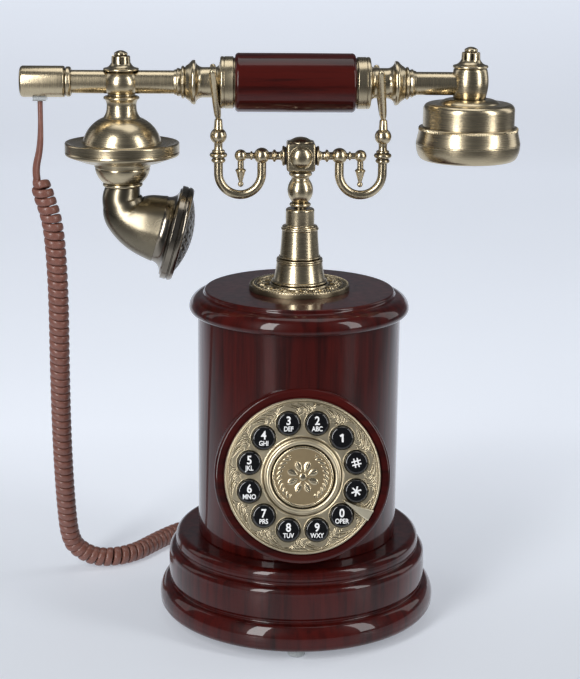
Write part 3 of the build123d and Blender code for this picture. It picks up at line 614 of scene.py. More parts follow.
def smooth_step(x):
    """0 below 0, 1 above 1, and an eased rise between them."""
    x = min(max(x, 0.0), 1.0)
    return x * x * (3 - 2 * x)


guide_line = route_line("cord_guide", CORD_ROUTE)
guide_lengths = along(guide_line)
guide_total = guide_lengths[-1]
guide_axes = np.array([tuple(p) for p in guide_line]).T


def guide_point(place):
    """Point of the guide line at a running length."""
    return Vector([np.interp(place, guide_lengths, axis) for axis in guide_axes])


def wind():
    """Path of the wire round the guide line, and the direction of its thin side at each point.

    The leads at both ends keep to the guide line.
    """
    path, radial = [], []
    place, phase = 0.0, 0.0
    side = -RIGHT
    while place < guide_total:
        centre = guide_point(place)
        tangent = (guide_point(place + CORD_PROBE) - guide_point(place - CORD_PROBE)).normalized()
        side = (side - tangent * side.dot(tangent)).normalized()
        other = tangent.cross(side)
        swing = smooth_step((place - COIL_STARTS) / COIL_RAMP) * smooth_step((COIL_ENDS - place) / COIL_RAMP)
        offset = side * math.cos(phase) - other * math.sin(phase)
        path.append(centre + offset * swing * COIL_R * MM)
        facing = phase + (1 - swing) * LEAD_TWIST * smooth_step(place / COIL_STARTS)
        radial.append(side * math.cos(facing) - other * math.sin(facing))
        if swing == 0:
            place += LEAD_STEP
            continue
        lying = smooth_step((LYING_BELOW - centre.z) / (LYING_BELOW - HANGING_ABOVE))
        pitch = HANGING_PITCH + (LYING_PITCH - HANGING_PITCH) * lying
        phase += math.tau / STEPS_PER_TURN * smooth_step(swing * 1.5)
        place += pitch / STEPS_PER_TURN
    if (guide_line[-1] - path[-1]).length > LAST_GAP:
        path.append(guide_line[-1])
        radial.append(radial[-1])
    return path, radial


cord_path, cord_radial = wind()


def flat_cord(path, radial, sides=20):
    """Flattened wire: its wide side lies along the coil's axis, its thin side along the coil's radius."""
    verts, faces = [], []
    for i, point in enumerate(path):
        run = (path[min(i + 1, len(path) - 1)] - path[max(i - 1, 0)]).normalized()
        thin = (radial[i] - run * radial[i].dot(run)).normalized()
        wide = run.cross(thin)
        for k in range(sides):
            turn = math.tau * k / sides
            u = math.copysign(abs(math.cos(turn)) ** WIRE_SQUARENESS, math.cos(turn)) * CORD_HALF_THICKNESS
            v = math.copysign(abs(math.sin(turn)) ** WIRE_SQUARENESS, math.sin(turn)) * CORD_HALF_WIDTH
            verts.append(point + (thin * u + wide * v) * MM)
        if i:
            faces += band((i - 1) * sides, i * sides, sides)
    return verts, faces + end_faces(len(verts), sides)


cord_verts, cord_faces = flat_cord(cord_path, cord_radial)
cord = new_piece("curly_cord", cord_verts, cord_faces, Matrix.Identity(4), cord_vinyl, 60)
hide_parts("cord_upper_lead", "cord_coil", "cord_lower_lead")
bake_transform(cord)

# ---------------------------------------------------------------- base

PLINTH_PROFILE = [
    (52.0, 8.0),
    (57.3, 8.0),
    (57.3, 5.0),
    (69.4, 5.0),
    ((71.8, 6.2), (72.8, 9.2)),
    ((72.4, 14.2), (70.5, 17.7)),
    ((69.3, 18.6), (67.9, 18.8)),
    ((67.35, 18.95), (67.2, 19.5)),
    (67.2, 20.2),
    ((67.35, 20.9), (67.8, 21.6)),
    ((68.1, 27.5), (67.8, 34.0)),
    ((66.9, 36.8), (64.8, 37.8)),
    ((64.1, 38.1), (63.9, 38.5)),
    (63.9, 39.3),
    ((64.05, 39.8), (64.4, 40.2)),
    ((64.45, 41.2), (64.3, 42.2)),
    ((63.0, 45.0), (60.2, PLINTH_TOP)),
    (20.0, PLINTH_TOP),
    (20.0, 36.0),
    (52.0, 36.0),
]
plinth = turned("plinth", PLINTH_PROFILE, wood_body, segments=FINE_SEGMENTS, steps=12)

# The two modular jacks' sockets go through the plinth's rear wall
SOCKET_SIZE = Vector((13, 30, 13))
SOCKET_Y = 65
cutter_mesh = bmesh.new()
for x in (JACK_X, -JACK_X):
    cube = bmesh.ops.create_cube(cutter_mesh, size=1.0)["verts"]
    bmesh.ops.scale(cutter_mesh, vec=SOCKET_SIZE * MM, verts=cube)
    bmesh.ops.translate(cutter_mesh, vec=Vector((x, SOCKET_Y, JACK_Z)) * MM, verts=cube)
cutter_data = bpy.data.meshes.new("socket_cutter")
cutter_mesh.to_mesh(cutter_data)
cutter_mesh.free()
cutter = bpy.data.objects.new("socket_cutter", cutter_data)
bpy.context.collection.objects.link(cutter)
cut = plinth.modifiers.new("sockets", "BOOLEAN")
cut.object = cutter
cut.solver = "EXACT"
baked(plinth)
bpy.data.objects.remove(cutter)
settle(plinth, "base", "lacquered_wood", "base_plinth")

PILLAR_PROFILE = [
    (BODY_R - 6, PLINTH_TOP),
    (BODY_R - 0.7, PLINTH_TOP),
    ((BODY_R - 0.2, PLINTH_TOP + 0.2), (BODY_R, PLINTH_TOP + 0.7)),
    (BODY_R, 105.0),
    (BODY_R, BODY_TOP),
    (BODY_R - 6, BODY_TOP),
]
pillar = turned("pillar", PILLAR_PROFILE, wood_body, segments=FINE_SEGMENTS)
settle(pillar, "base", "lacquered_wood", "body_cylinder")

BOSS_PROFILE = [
    (31.0, -BOSS_DEPTH),
    (BOSS_R, -BOSS_DEPTH),
    (BOSS_R, -1.9),
    ((BOSS_R - 0.5, -0.55), (BOSS_R - 1.8, 0)),
    (PLATE_R + 0.9, 0),
    (PLATE_R + 0.55, -0.3),
    (PLATE_R + 0.1, -0.3),
    (PLATE_R - 0.6, 0),
    (34.0, 0),
    (34.0, -7.6),
    (31.0, -7.6),
]
boss = turned("dial_boss_wood", BOSS_PROFILE, wood_boss, DIAL_CENTRE, DIAL_OUT, segments=FINE_SEGMENTS)
settle(boss, "base", "lacquered_wood", "dial_boss")

CAP_PROFILE = [
    (6.0, CAP_TOP),
    (CAP_DISC_R - 1.0, CAP_TOP),
    ((CAP_DISC_R - 0.25, CAP_TOP - 0.3), (CAP_DISC_R, CAP_TOP - 1.0)),
    ((CAP_DISC_R + 0.3, CAP_TOP - 2.0), (CAP_DISC_R + 1.2, CAP_TOP - 2.4)),
    ((CAP_RIM_R - 1.5, CAP_TOP - 4.9), (CAP_RIM_R, CAP_TOP - 8.7)),
    ((CAP_RIM_R - 0.8, BODY_TOP + 0.9), (CAP_RIM_R - 3.1, BODY_TOP)),
    (46.2, BODY_TOP),
    (46.2, BODY_TOP - 6.0),
    (6.0, BODY_TOP - 6.0),
]
cap = turned("top_cap_wood", CAP_PROFILE, wood_body, segments=FINE_SEGMENTS, steps=14)
settle(cap, "base", "lacquered_wood", "top_cap")

# ---------------------------------------------------------------- relief plates


def spiral(centre, start_r, end_r, start_angle, turns, count=26):
    """Spiral polyline of one scroll."""
    points = []
    for i in range(count):
        t = i / (count - 1)
        r = start_r + (end_r - start_r) * t
        turn = start_angle + math.tau * turns * t
        points.append((centre[0] + r * math.cos(turn), centre[1] + r * math.sin(turn)))
    return points


def nearest(points, strokes):
    """Distance of each point to the nearest stroke, as a share of the stroke's tapering width."""
    best = np.full(len(points), 1e9)
    for stroke, width in strokes:
        stroke = np.array(stroke)
        for i, (a, b) in enumerate(zip(stroke, stroke[1:])):
            ab = b - a
            t = np.clip(((points - a) @ ab) / (ab @ ab), 0, 1)
            gap = np.linalg.norm(points - a - t[:, None] * ab, axis=1)
            taper = width * (0.35 + 0.65 * math.sin(math.pi * min((i + 1) / len(stroke) + 0.12, 1.0)))
            best = np.minimum(best, gap / taper)
    return best


def flowing(points, steps=5):
    """Smooth line through the points."""
    points = [np.array(p, dtype=float) for p in points]
    padded = [2 * points[0] - points[1], *points, 2 * points[-1] - points[-2]]
    out = []
    for a, b, c, d in zip(padded, padded[1:], padded[2:], padded[3:]):
        for i in range(steps):
            t = i / steps
            bend = (2 * a - 5 * b + 4 * c - d) * t**2 + (3 * b - a - 3 * c + d) * t**3
            out.append(0.5 * (2 * b + (c - a) * t + bend))
    out.append(points[-1])
    return out


def darken_hollows(piece, matrix, material, level):
    """Faces whose middle lies below level, in the plate's own millimetres, take the darker material."""
    piece.data.materials.append(material)
    back = matrix.inverted()
    for polygon in piece.data.polygons:
        if (back @ polygon.center).z < level:
            polygon.material_index = 1


def relief_plate(name, matrix, material, radii, height, back, segments):
    """Disc with a flat back and a modelled front: height(x, y, r) for each point of a polar grid."""
    turns = np.arange(segments) * math.tau / segments
    grid_r, grid_t = np.meshgrid(radii, turns, indexing="ij")
    x, y = (grid_r * np.cos(grid_t)).ravel(), (grid_r * np.sin(grid_t)).ravel()
    z = height(x, y, grid_r.ravel())
    verts = list(zip(x.tolist(), y.tolist(), z.tolist()))
    faces = []
    for i in range(len(radii) - 1):
        faces += band(i * segments, (i + 1) * segments, segments)
    rows = len(radii)
    for radius in (radii[-1], radii[0]):
        for turn in turns:
            verts.append((radius * math.cos(turn), radius * math.sin(turn), back))
    for low, high in ((rows - 1, rows), (rows, rows + 1), (rows + 1, 0)):
        faces += band(low * segments, high * segments, segments)
    return new_piece(name, verts, faces, matrix, material, 60)


# Clockwise from the top of the dial
KEY_ANGLES = [math.radians(15 + 30 * i) for i in range(12)]
# Leaf strokes of one scroll, which repeats between the keys
LEAF_LINES = [
    [(-1.5, 30.2), (0.8, 31.5), (0.3, 33.2), (-2.4, 34.6), (-5.5, 35.4)],
    [(1.5, 30.5), (2.9, 32.0), (2.4, 33.8), (0.2, 35.3), (-2.4, 36.2)],
    [(-3.2, 31.9), (-2.0, 32.8), (-3.4, 34.0), (-6.0, 34.6), (-8.8, 35.0)],
    [(4.1, 32.9), (3.8, 34.7), (1.6, 36.1)],
    [(5.0, 34.0), (6.4, 35.3), (9.2, 35.2)],
    [(-9.2, 36.0), (-6.8, 36.4), (-4.2, 36.2)],
    [(5.4, 36.2), (7.4, 36.5), (9.2, 36.1)],
    [(-0.4, 34.6), (1.2, 33.4), (1.3, 32.2)],
]
LEAF_WIDTH = 0.40
LEAF_STROKES = [(flowing(line), LEAF_WIDTH) for line in LEAF_LINES]


def folded(x, y, count):
    """Points turned into one wedge about +Y, of count round the circle."""
    wedge = math.tau / count
    angle = np.arctan2(x, y)
    angle = (angle + wedge / 2) % wedge - wedge / 2
    r = np.hypot(x, y)
    return np.stack([r * np.sin(angle), r * np.cos(angle)], axis=1)


def rounded(distance, half_width):
    """1 on the crest of a round-topped ridge, falling to 0 at half_width from it."""
    return np.clip(1 - (distance / half_width) ** 2, 0, 1)


def key_offset(angle):
    """Place of a key on the dial's face, to the right and up."""
    return KEY_CIRCLE_R * math.sin(angle), KEY_CIRCLE_R * math.cos(angle)


SCROLL_BAND = (30.4, 36.6)
SCROLL_RISE = 0.38
SCROLL_GROOVE = 0.2
GROOVE_REACH = 1.55
RING_GROOVE = (18.9, 19.7)
RING_GROOVE_DEPTH = 0.3
# Beads round the plate: radius, half width and height
PLATE_BEADS = [(37.75, 0.55, 0.55), (36.75, 0.28, 0.35), (20.1, 0.4, 0.22)]
PLATE_EDGE_R = 38.45
KEY_WELL_R = 6.45
KEY_WELL_Z = -0.9


def dial_relief(x, y, r):
    """Height of the dial plate's face: scrolls, beads, key wells and the groove round the medallion."""
    gap = nearest(folded(x, y, len(KEY_ANGLES)), LEAF_STROKES)
    groove = np.where(gap < GROOVE_REACH, SCROLL_GROOVE, 0.0)
    scrolls = PLATE_T - groove + SCROLL_RISE * rounded(gap, 1)
    z = np.where((r > SCROLL_BAND[0]) & (r < SCROLL_BAND[1]), scrolls, PLATE_T)
    z = np.where((r > RING_GROOVE[0]) & (r < RING_GROOVE[1]), PLATE_T - RING_GROOVE_DEPTH, z)
    for bead_r, half_width, rise in PLATE_BEADS:
        z += rounded(r - bead_r, half_width) * rise
    for angle in KEY_ANGLES:
        key_x, key_y = key_offset(angle)
        z = np.where(np.hypot(x - key_x, y - key_y) < KEY_WELL_R, KEY_WELL_Z, z)
    return np.where(r > PLATE_EDGE_R, PLATE_T - 0.5, z)


dial_radii = np.concatenate(
    [np.linspace(17.0, 20.2, 12), np.linspace(20.3, 36.0, 112), np.linspace(36.1, PLATE_R, 34)]
)
dial_plate = relief_plate("dial_plate_relief", dial_matrix(), brass_dial, dial_radii, dial_relief, 0.0, 960)
darken_hollows(dial_plate, dial_matrix(), brass_dark, PLATE_T - 0.1)
settle(dial_plate, "base", "antique_brass", "dial_plate")

EYELET_PROFILE = [(6.05, -0.6), (6.05, 1.5), ((6.3, 1.72), (6.6, 1.45)), (6.7, 0.6), (6.55, -0.6)]
eyelets = []
for angle in KEY_ANGLES:
    at = dial_point(*key_offset(angle))
    eyelets.append(turned("eyelet", EYELET_PROFILE, brass_dial, at, DIAL_OUT, segments=56, steps=6))
settle(join("key_eyelets", eyelets), "base", "antique_brass")

# Near-black disc under the key holes and the gap round the medallion: painted shade where the holes and the
# gap look dark
WELL_PROFILE = [(0, -1.2), (36.5, -1.2), (36.5, -0.95), (0, -0.95)]
well = turned("dial_well", WELL_PROFILE, painted_gap_shade, DIAL_CENTRE, DIAL_OUT)
settle(well, "base", "inner_plastic")

BEZEL_PROFILE = [
    (15.65, PLATE_T - 1.4),
    (18.8, PLATE_T - 1.4),
    (18.8, PLATE_T + 0.1),
    (18.4, PLATE_T + 0.3),
    ((17.2, PLATE_T + 1.9), (16.0, PLATE_T + 1.3)),
    (15.7, PLATE_T + 0.8),
]
bezel = turned("dial_bezel_ring", BEZEL_PROFILE, brass_dial, DIAL_CENTRE, DIAL_OUT, steps=14)
settle(bezel, "base", "antique_brass", "dial_bezel")

# Medallion: a plain eight-petal rosette between two leafy sprays
FIELD = PLATE_T + 0.95
PETALS = 8
PETAL_FROM, PETAL_TO = 2.0, 8.2
PETAL_HALF_WIDTH = 0.40
VEIN_FROM, VEIN_TO = 3.0, 7.4
SPRAY_R = 11.6
SPRAY_LEAVES = 30
LEAF_HALF_WIDTH = 0.36
LEAF_HALF_LENGTH = 1.35


def medallion_relief(x, y, r):
    """Height of the medallion. Widths round its circle are shares of one petal's or one leaf's room."""
    angle = np.arctan2(x, y)
    rim = rounded(r - 14.5, 0.8) * 0.55
    from_petal = (angle / math.tau * PETALS) % 1 - 0.5
    reach = np.clip((r - PETAL_FROM) / (PETAL_TO - PETAL_FROM), 0, 1)
    half_width = np.maximum(PETAL_HALF_WIDTH * np.sin(math.pi * reach) ** 0.6, 0.02)
    petals = rounded(from_petal, half_width) * (r < PETAL_TO) * (r > PETAL_FROM) * 0.42
    vein = rounded(from_petal, 0.035) * (r < VEIN_TO) * (r > VEIN_FROM) * 0.15
    button = rounded(r, 1.8) ** 0.5 * 0.55
    from_leaf = (np.abs(angle) / math.tau * SPRAY_LEAVES - (r - SPRAY_R) * 0.34) % 1 - 0.5
    oval = (from_leaf / LEAF_HALF_WIDTH) ** 2 + ((r - SPRAY_R) / LEAF_HALF_LENGTH) ** 2
    leaf = np.clip(1 - oval, 0, 1) ** 0.5 * 0.34
    spray = np.where(np.abs(np.cos(angle)) < 0.86, leaf, 0)
    return FIELD + rim + petals - vein + button + spray


medal_radii = np.concatenate([[0.02], np.linspace(0.2, 15.3, 120)])
medal = relief_plate(
    "dial_medallion", dial_matrix(), brass_fine, medal_radii, medallion_relief, PLATE_T, 480
)
darken_hollows(medal, dial_matrix(), brass_field, FIELD + 0.06)
settle(medal, "base", "antique_brass", "medallion")

# Finger stop: a tapered, slightly curved brass finger between the star and zero keys
STOP_TURN = math.radians(-30)
# Outline as (distance from the dial's centre, distance to the left), and levels as (height, inset)
STOP_OUTLINE = [
    (23.6, 0.15),
    (27.5, 0.6),
    (31.0, 1.3),
    (35.0, 2.2),
    (38.5, 3.0),
    (38.5, -2.7),
    (35.0, -2.5),
    (31.0, -1.9),
    (27.5, -1.1),
    (23.6, -0.25),
]
STOP_LEVELS = [(PLATE_T, 0.0), (PLATE_T + 1.9, 0.0), (PLATE_T + 2.3, 0.4)]
stop_verts, stop_faces = [], []
for level, (height, inset) in enumerate(STOP_LEVELS):
    for out, left in STOP_OUTLINE:
        left *= 1 - inset / 2
        stop_x = out * math.cos(STOP_TURN) - left * math.sin(STOP_TURN)
        stop_y = out * math.sin(STOP_TURN) + left * math.cos(STOP_TURN)
        stop_verts.append((stop_x, stop_y, height))
    if level:
        stop_faces += band((level - 1) * len(STOP_OUTLINE), level * len(STOP_OUTLINE), len(STOP_OUTLINE))
stop_faces += end_faces(len(stop_verts), len(STOP_OUTLINE))
stop = new_piece("finger_stop_blade", stop_verts, stop_faces, dial_matrix(), brass_bright, 30)
settle(stop, "base", "antique_brass", "finger_stop")

# ---------------------------------------------------------------- keys

# Clockwise from the key just right of the top, in the order of KEY_ANGLES
KEYS = ["2", "1", "hash", "star", "0", "9", "8", "7", "6", "5", "4", "3"]
WORDS = {
    "2": "ABC",
    "3": "DEF",
    "4": "GHI",
    "5": "JKL",
    "6": "MNO",
    "7": "PRS",
    "8": "TUV",
    "9": "WXY",
    "0": "OPER",
}
KEY_TOP = PLATE_T + KEY_HEIGHT
KEY_FOOT = -1.5
KEY_PROFILE = [
    (0, KEY_FOOT),
    (KEY_R, KEY_FOOT),
    (KEY_R, KEY_TOP - 1.5),
    ((KEY_R - 0.42, KEY_TOP - 0.42), (KEY_R - 1.6, KEY_TOP - 0.04)),
    (KEY_R - 2.6, KEY_TOP),
    (0, KEY_TOP),
]
SIGN_RISE = 0.03
SIGN_Z = KEY_TOP + SIGN_RISE
SIGN_HALF_T = 0.02
# Each bar of a sign is a little higher than the one before, so that no two tops share a plane
SIGN_STEP = 0.004
STROKE_WEIGHT = 0.022
FIGURE_SIZE = 5.8
FIGURE_NARROWING = 0.88
FIGURE_RISE = 1.3
WORD_SIZE = 3.3
WORD_NARROWING = 0.84
WORD_DROP = 2.6


def letters(name, text, size, narrow, x, y, body):
    """Raised white characters, upright on the dial's face, as a mesh."""
    data = bpy.data.curves.new(name, "FONT")
    data.body = text
    data.size = size
    data.align_x = "CENTER"
    data.align_y = "CENTER"
    data.extrude = SIGN_HALF_T
    data.offset = size * STROKE_WEIGHT
    writer = bpy.data.objects.new(name, data)
    bpy.context.collection.objects.link(writer)
    mesh = bpy.data.meshes.new_from_object(writer)
    bpy.data.objects.remove(writer)
    mesh.transform(dial_matrix(x, y, SIGN_Z) @ Matrix.Diagonal((narrow, 1, 1, 1)))
    mesh.materials.clear()
    mesh.materials.append(key_white)
    piece = bpy.data.objects.new(name, mesh)
    bpy.context.collection.objects.link(piece)
    settle(piece, body, "key_plastic")


def bars(name, strokes, width, x, y, body):
    """White sign made of straight bars, each from one point to another of the key's top."""
    verts, faces = [], []
    for level, (start, end) in enumerate(strokes):
        a, b = Vector(start), Vector(end)
        run = (b - a).normalized()
        across = Vector((-run.y, run.x)) * width / 2
        first = len(verts)
        for height in (-SIGN_HALF_T, SIGN_RISE + SIGN_STEP * level):
            for corner in (a - across, b - across, b + across, a + across):
                verts.append((corner.x, corner.y, height))
        faces += [[first + k for k in (3, 2, 1, 0)], [first + k for k in (4, 5, 6, 7)]]
        faces += band(first, first + 4, 4)
    sign = new_piece(name, verts, faces, dial_matrix(x, y, SIGN_Z), key_white, 30)
    settle(sign, body, "key_plastic")


def spoke(angle, reach):
    """Point at a distance from the key's centre, at an angle in degrees."""
    return (reach * math.cos(math.radians(angle)), reach * math.sin(math.radians(angle)))


ONE_BARS = [((0.25, -2.0), (0.25, 2.0)), ((0.35, 1.75), (-1.05, 0.95))]
STAR_REACH = 2.5
STAR_BARS = [(spoke(turn, -STAR_REACH), spoke(turn, STAR_REACH)) for turn in (18, 78, 138)]
HASH_LEAN = 14
HASH_REACH = 2.3
HASH_SHIFT = 0.85
HASH_BARS = []
for turn in (HASH_LEAN, 90 + HASH_LEAN):
    for shift in (-HASH_SHIFT, HASH_SHIFT):
        shift_x, shift_y = spoke(turn + 90, shift)
        end_x, end_y = spoke(turn, HASH_REACH)
        HASH_BARS.append(((shift_x - end_x, shift_y - end_y), (shift_x + end_x, shift_y + end_y)))
# Signs made of bars, with the bars' width
SIGNS = {"1": (ONE_BARS, 0.95), "star": (STAR_BARS, 0.75), "hash": (HASH_BARS, 0.62)}

for angle, key_name in zip(KEY_ANGLES, KEYS):
    kx, ky = key_offset(angle)
    body = f"button_{key_name}"
    at = dial_point(kx, ky)
    key = turned(f"key_cap_{key_name}", KEY_PROFILE, key_black, at, DIAL_OUT, segments=72, steps=10)
    settle(key, body, "key_plastic", f"key_{key_name}")
    if key_name in SIGNS:
        bars(f"figure_{key_name}", *SIGNS[key_name], kx, ky, body)
        continue
    letters(f"figure_{key_name}", key_name, FIGURE_SIZE, FIGURE_NARROWING, kx, ky + FIGURE_RISE, body)
    letters(f"word_{key_name}", WORDS[key_name], WORD_SIZE, WORD_NARROWING, kx, ky - WORD_DROP, body)

# ---------------------------------------------------------------- column

FLANGE_PATTERNS = 12
FLANGE_TOP = CAP_TOP + 2.4
FLANGE_BAND = (15.4, 22.3)
FLANGE_EDGE_R = 25.6
ROPE_R = 24.3
ROPE_TWISTS = 90
# Strokes of one of the flange's patterns, as points about its middle, each with its width
FLANGE_STROKES = [([(0, 16.4), (0, 18.4), (0, 21.4)], 0.75)]
for s in (-1, 1):
    curl_start = 0.4 if s > 0 else math.pi - 0.4
    FLANGE_STROKES.append((spiral((s * 2.1, 19.4), 0.2, 1.5, curl_start, s * 1.2), 0.5))
    FLANGE_STROKES.append(([(s * 0.4, 16.2), (s * 1.5, 17.4), (s * 3.3, 18.4), (s * 4.4, 20.4)], 0.6))


def flange_relief(x, y, r):
    """Height of the flange's top: curls between two beads, and a rope round the edge."""
    gap = nearest(folded(x, y, FLANGE_PATTERNS), FLANGE_STROKES)
    scrolls = FLANGE_TOP - 0.1 + rounded(gap, 1) * 0.75
    z = np.where((r < FLANGE_BAND[0]) | (r > FLANGE_BAND[1]), FLANGE_TOP, scrolls)
    rope = 0.75 + 0.25 * np.sin(np.arctan2(y, x) * ROPE_TWISTS + r * 3)
    z += rounded(r - ROPE_R, 1.3) ** 0.5 * 0.9 * rope
    z += rounded(r - 22.6, 0.4) * 0.5
    z += rounded(r - 14.6, 0.7) * 0.9
    return np.where(r > FLANGE_EDGE_R, CAP_TOP + 1.6, z)


FLANGE_SEAT = placed((0, 0, 0), UP)
flange_radii = np.concatenate([np.linspace(6.0, 13.6, 4), np.linspace(13.8, 25.9, 118)])
flange = relief_plate(
    "column_flange_relief", FLANGE_SEAT, brass_fine, flange_radii, flange_relief, CAP_TOP, 720
)
darken_hollows(flange, FLANGE_SEAT, brass_dark, FLANGE_TOP - 0.02)
settle(flange, "base", "antique_brass", "column_flange")

BELL_PROFILE = [
    (4.1, CAP_TOP + 2.0),
    (13.4, CAP_TOP + 2.0),
    (13.9, CAP_TOP + 3.4),
    ((14.25, CAP_TOP + 4.2), (13.6, CAP_TOP + 4.8)),
    (13.2, CAP_TOP + 5.0),
    ((12.4, 185.2), (11.75, 190.2)),
    ((12.0, 190.8), (11.7, 191.3)),
    ((11.9, 191.8), (11.3, 192.3)),
    (10.3, 192.5),
    ((10.75, 193.1), (10.15, 193.7)),
    ((9.6, 200.5), (9.2, 206.9)),
    ((9.65, 207.5), (9.2, 208.2)),
    ((9.0, 208.9), (8.0, 209.1)),
    (4.1, 209.1),
]
turned_brass("column_bell_turned", BELL_PROFILE, "base", "column_bell")

COLLAR_PROFILE = [
    (3.1, 208.8),
    (7.9, 208.8),
    ((7.75, 209.5), (7.35, 209.9)),
    (7.35, 216.6),
    ((7.1, 217.75), (6.1, 218.1)),
    (3.1, 218.1),
]
turned_brass("column_sleeve", COLLAR_PROFILE, "base", "column_collar")

# ---------------------------------------------------------------- cradle

STEM_PROFILE = [
    (0, 150.0),
    (3.0, 150.0),
    (3.0, 219.1),
    (4.6, 219.1),
    ((5.5, 220.0), (4.6, 220.9)),
    (4.1, 221.3),
    ((6.55, 227.4), (4.9, 232.4)),
    ((4.5, 233.4), (4.9, 234.5)),
    ((5.95, 235.6), (5.2, 236.8)),
    (4.8, 237.8),
    (0, 237.8),
]
turned_brass("cradle_baluster", STEM_PROFILE, "cradle", "cradle_stem", segments=96, steps=16)

head_mesh = bmesh.new()
bmesh.ops.create_cube(head_mesh, size=HEAD_SIZE * MM)
bmesh.ops.translate(head_mesh, vec=(0, 0, HEAD_Z * MM), verts=head_mesh.verts)
bmesh.ops.bevel(
    head_mesh, geom=head_mesh.edges[:], offset=1.2 * MM, segments=6, profile=0.5, affect="EDGES"
)
head_data = bpy.data.meshes.new("cradle_head_block")
head_mesh.to_mesh(head_data)
head_mesh.free()
head_data.polygons.foreach_set("use_smooth", [True] * len(head_data.polygons))
head_data.set_sharp_from_angle(angle=math.radians(35))
head_data.materials.append(brass_fine)
head = bpy.data.objects.new("cradle_head_block", head_data)
bpy.context.collection.objects.link(head)
settle(head, "cradle", "antique_brass", "cradle_head")

ROSETTE_PROFILE = [
    (0, -0.4),
    (6.0, -0.4),
    (6.0, 0.05),
    ((5.75, 0.25), (5.5, 0.05)),
    (5.35, -0.2),
    (5.15, 0.05),
    ((3.2, 1.6), (0, 2.15)),
]
TOP_BUTTON_PROFILE = [
    (0, -0.2),
    (6.8, -0.2),
    (6.6, 0.25),
    ((6.0, 0.6), (5.5, 0.45)),
    ((3.2, 1.9), (0, 2.4)),
]
rosettes = [
    turned("rosette", ROSETTE_PROFILE, brass_fine, (0, -HEAD_SIZE / 2, HEAD_Z), (0, -1, 0), segments=64),
    turned("rosette", ROSETTE_PROFILE, brass_fine, (0, HEAD_SIZE / 2, HEAD_Z), (0, 1, 0), segments=64),
    turned("rosette", TOP_BUTTON_PROFILE, brass_fine, (0, 0, HEAD_Z + HEAD_SIZE / 2), UP, segments=64),
]
settle(join("cradle_rosettes", rosettes), "cradle", "antique_brass", "head_rosettes")

HEAD_SIDE = HEAD_SIZE / 2
INNER_BALL_X = HOOK_X - HOOK_R
END_BALL_X = HOOK_X - 0.3
ARM_PROFILE = [
    (HEAD_SIDE + 1.0, 0),
    (HEAD_SIDE + 1.0, 4.9),
    ((HEAD_SIDE + 1.6, 5.1), (HEAD_SIDE + 2.2, 4.3)),
    ((HEAD_SIDE + 2.6, 2.7), (HEAD_SIDE + 3.6, 2.1)),
    (12.0, 2.1),
    (12.5, 2.4),
    ((13.3, 3.2), (14.1, 2.4)),
    (14.6, 2.0),
    (INNER_BALL_X - math.sqrt(4.1**2 - 2.0**2), 2.0),
    ((INNER_BALL_X, 4.1), (INNER_BALL_X + math.sqrt(4.1**2 - 1.6**2), 1.6)),
    (24.3, 1.6),
    ((24.9, 2.3), (25.5, 1.6)),
    (END_BALL_X - math.sqrt(3.15**2 - 1.6**2), 1.6),
    ((END_BALL_X, 3.15), (END_BALL_X + 3.15, 0)),
]
WASHER_R = 4.6
WASHER_PROFILE = [
    (HEAD_SIDE - 0.1, 0),
    (HEAD_SIDE - 0.1, WASHER_R),
    (HEAD_SIDE + 1.0, WASHER_R),
    (HEAD_SIDE + 1.0, 0),
]
arms = mirrored_pair("cradle_arm_pair", ARM_PROFILE, brass_x, height=HEAD_Z, segments=64, steps=14)
settle(arms, "cradle", "antique_brass", "cradle_arms")
# The washers take the near-black gap colour: painted shade between the head and the arms
washers = mirrored_pair("cradle_washers", WASHER_PROFILE, painted_gap_shade, height=HEAD_Z, segments=64)
settle(washers, "cradle", "antique_brass", "arm_washers")

DROP_PROFILE = [
    (0, 242.2),
    (1.6, 242.2),
    (1.6, 238.4),
    (2.5, 237.7),
    ((2.75, 237.2), (2.4, 236.6)),
    (0.9, 231.5),
    ((1.5, 230.3), (0, 228.8)),
]
drops = [turned("drop", DROP_PROFILE, brass_fine, (s * END_BALL_X, 0, 0), segments=40) for s in (-1, 1)]
settle(join("drop_finial_pair", drops), "cradle", "antique_brass", "drop_finials")

HOOK_COLLAR_PROFILE = [
    (0, 241.2),
    (2.7, 241.2),
    ((3.6, 242.3), (2.9, 243.4)),
    (2.9, 243.9),
    ((4.5, 244.9), (2.9, 246.2)),
    ((3.35, 247.0), (2.3, 247.7)),
    ((2.1, 249.2), (2.3, 251.2)),
    ((4.25, 254.6), (2.3, 258.2)),
    (1.95, 262.8),
    dome(1.95, 262.8, 263.8),
]
HOOK_STEPS = 32
hooks = []
for s in (-1, 1):
    arc_line = [(s * INNER_BALL_X, 0, HEAD_Z - 2.6), (s * INNER_BALL_X, 0, HOOK_ARC_Z + 2)]
    for i in range(HOOK_STEPS + 1):
        turn = math.pi * i / HOOK_STEPS
        arc_line.append((s * (HOOK_X - HOOK_R * math.cos(turn)), 0, HOOK_ARC_Z - HOOK_R * math.sin(turn)))
    arc_line += [(s * FORK_X, 0, HOOK_ARC_Z + 3), (s * FORK_X, 0, 241.6)]
    hooks.append(tube("hook", arc_line, [HOOK_WIRE_R] * len(arc_line), brass_fine, 32))
    hooks.append(turned("hook", HOOK_COLLAR_PROFILE, brass_fine, (s * FORK_X, 0, 0), segments=64, steps=12))
settle(join("cradle_hook_pair", hooks), "cradle", "antique_brass", "cradle_hooks")

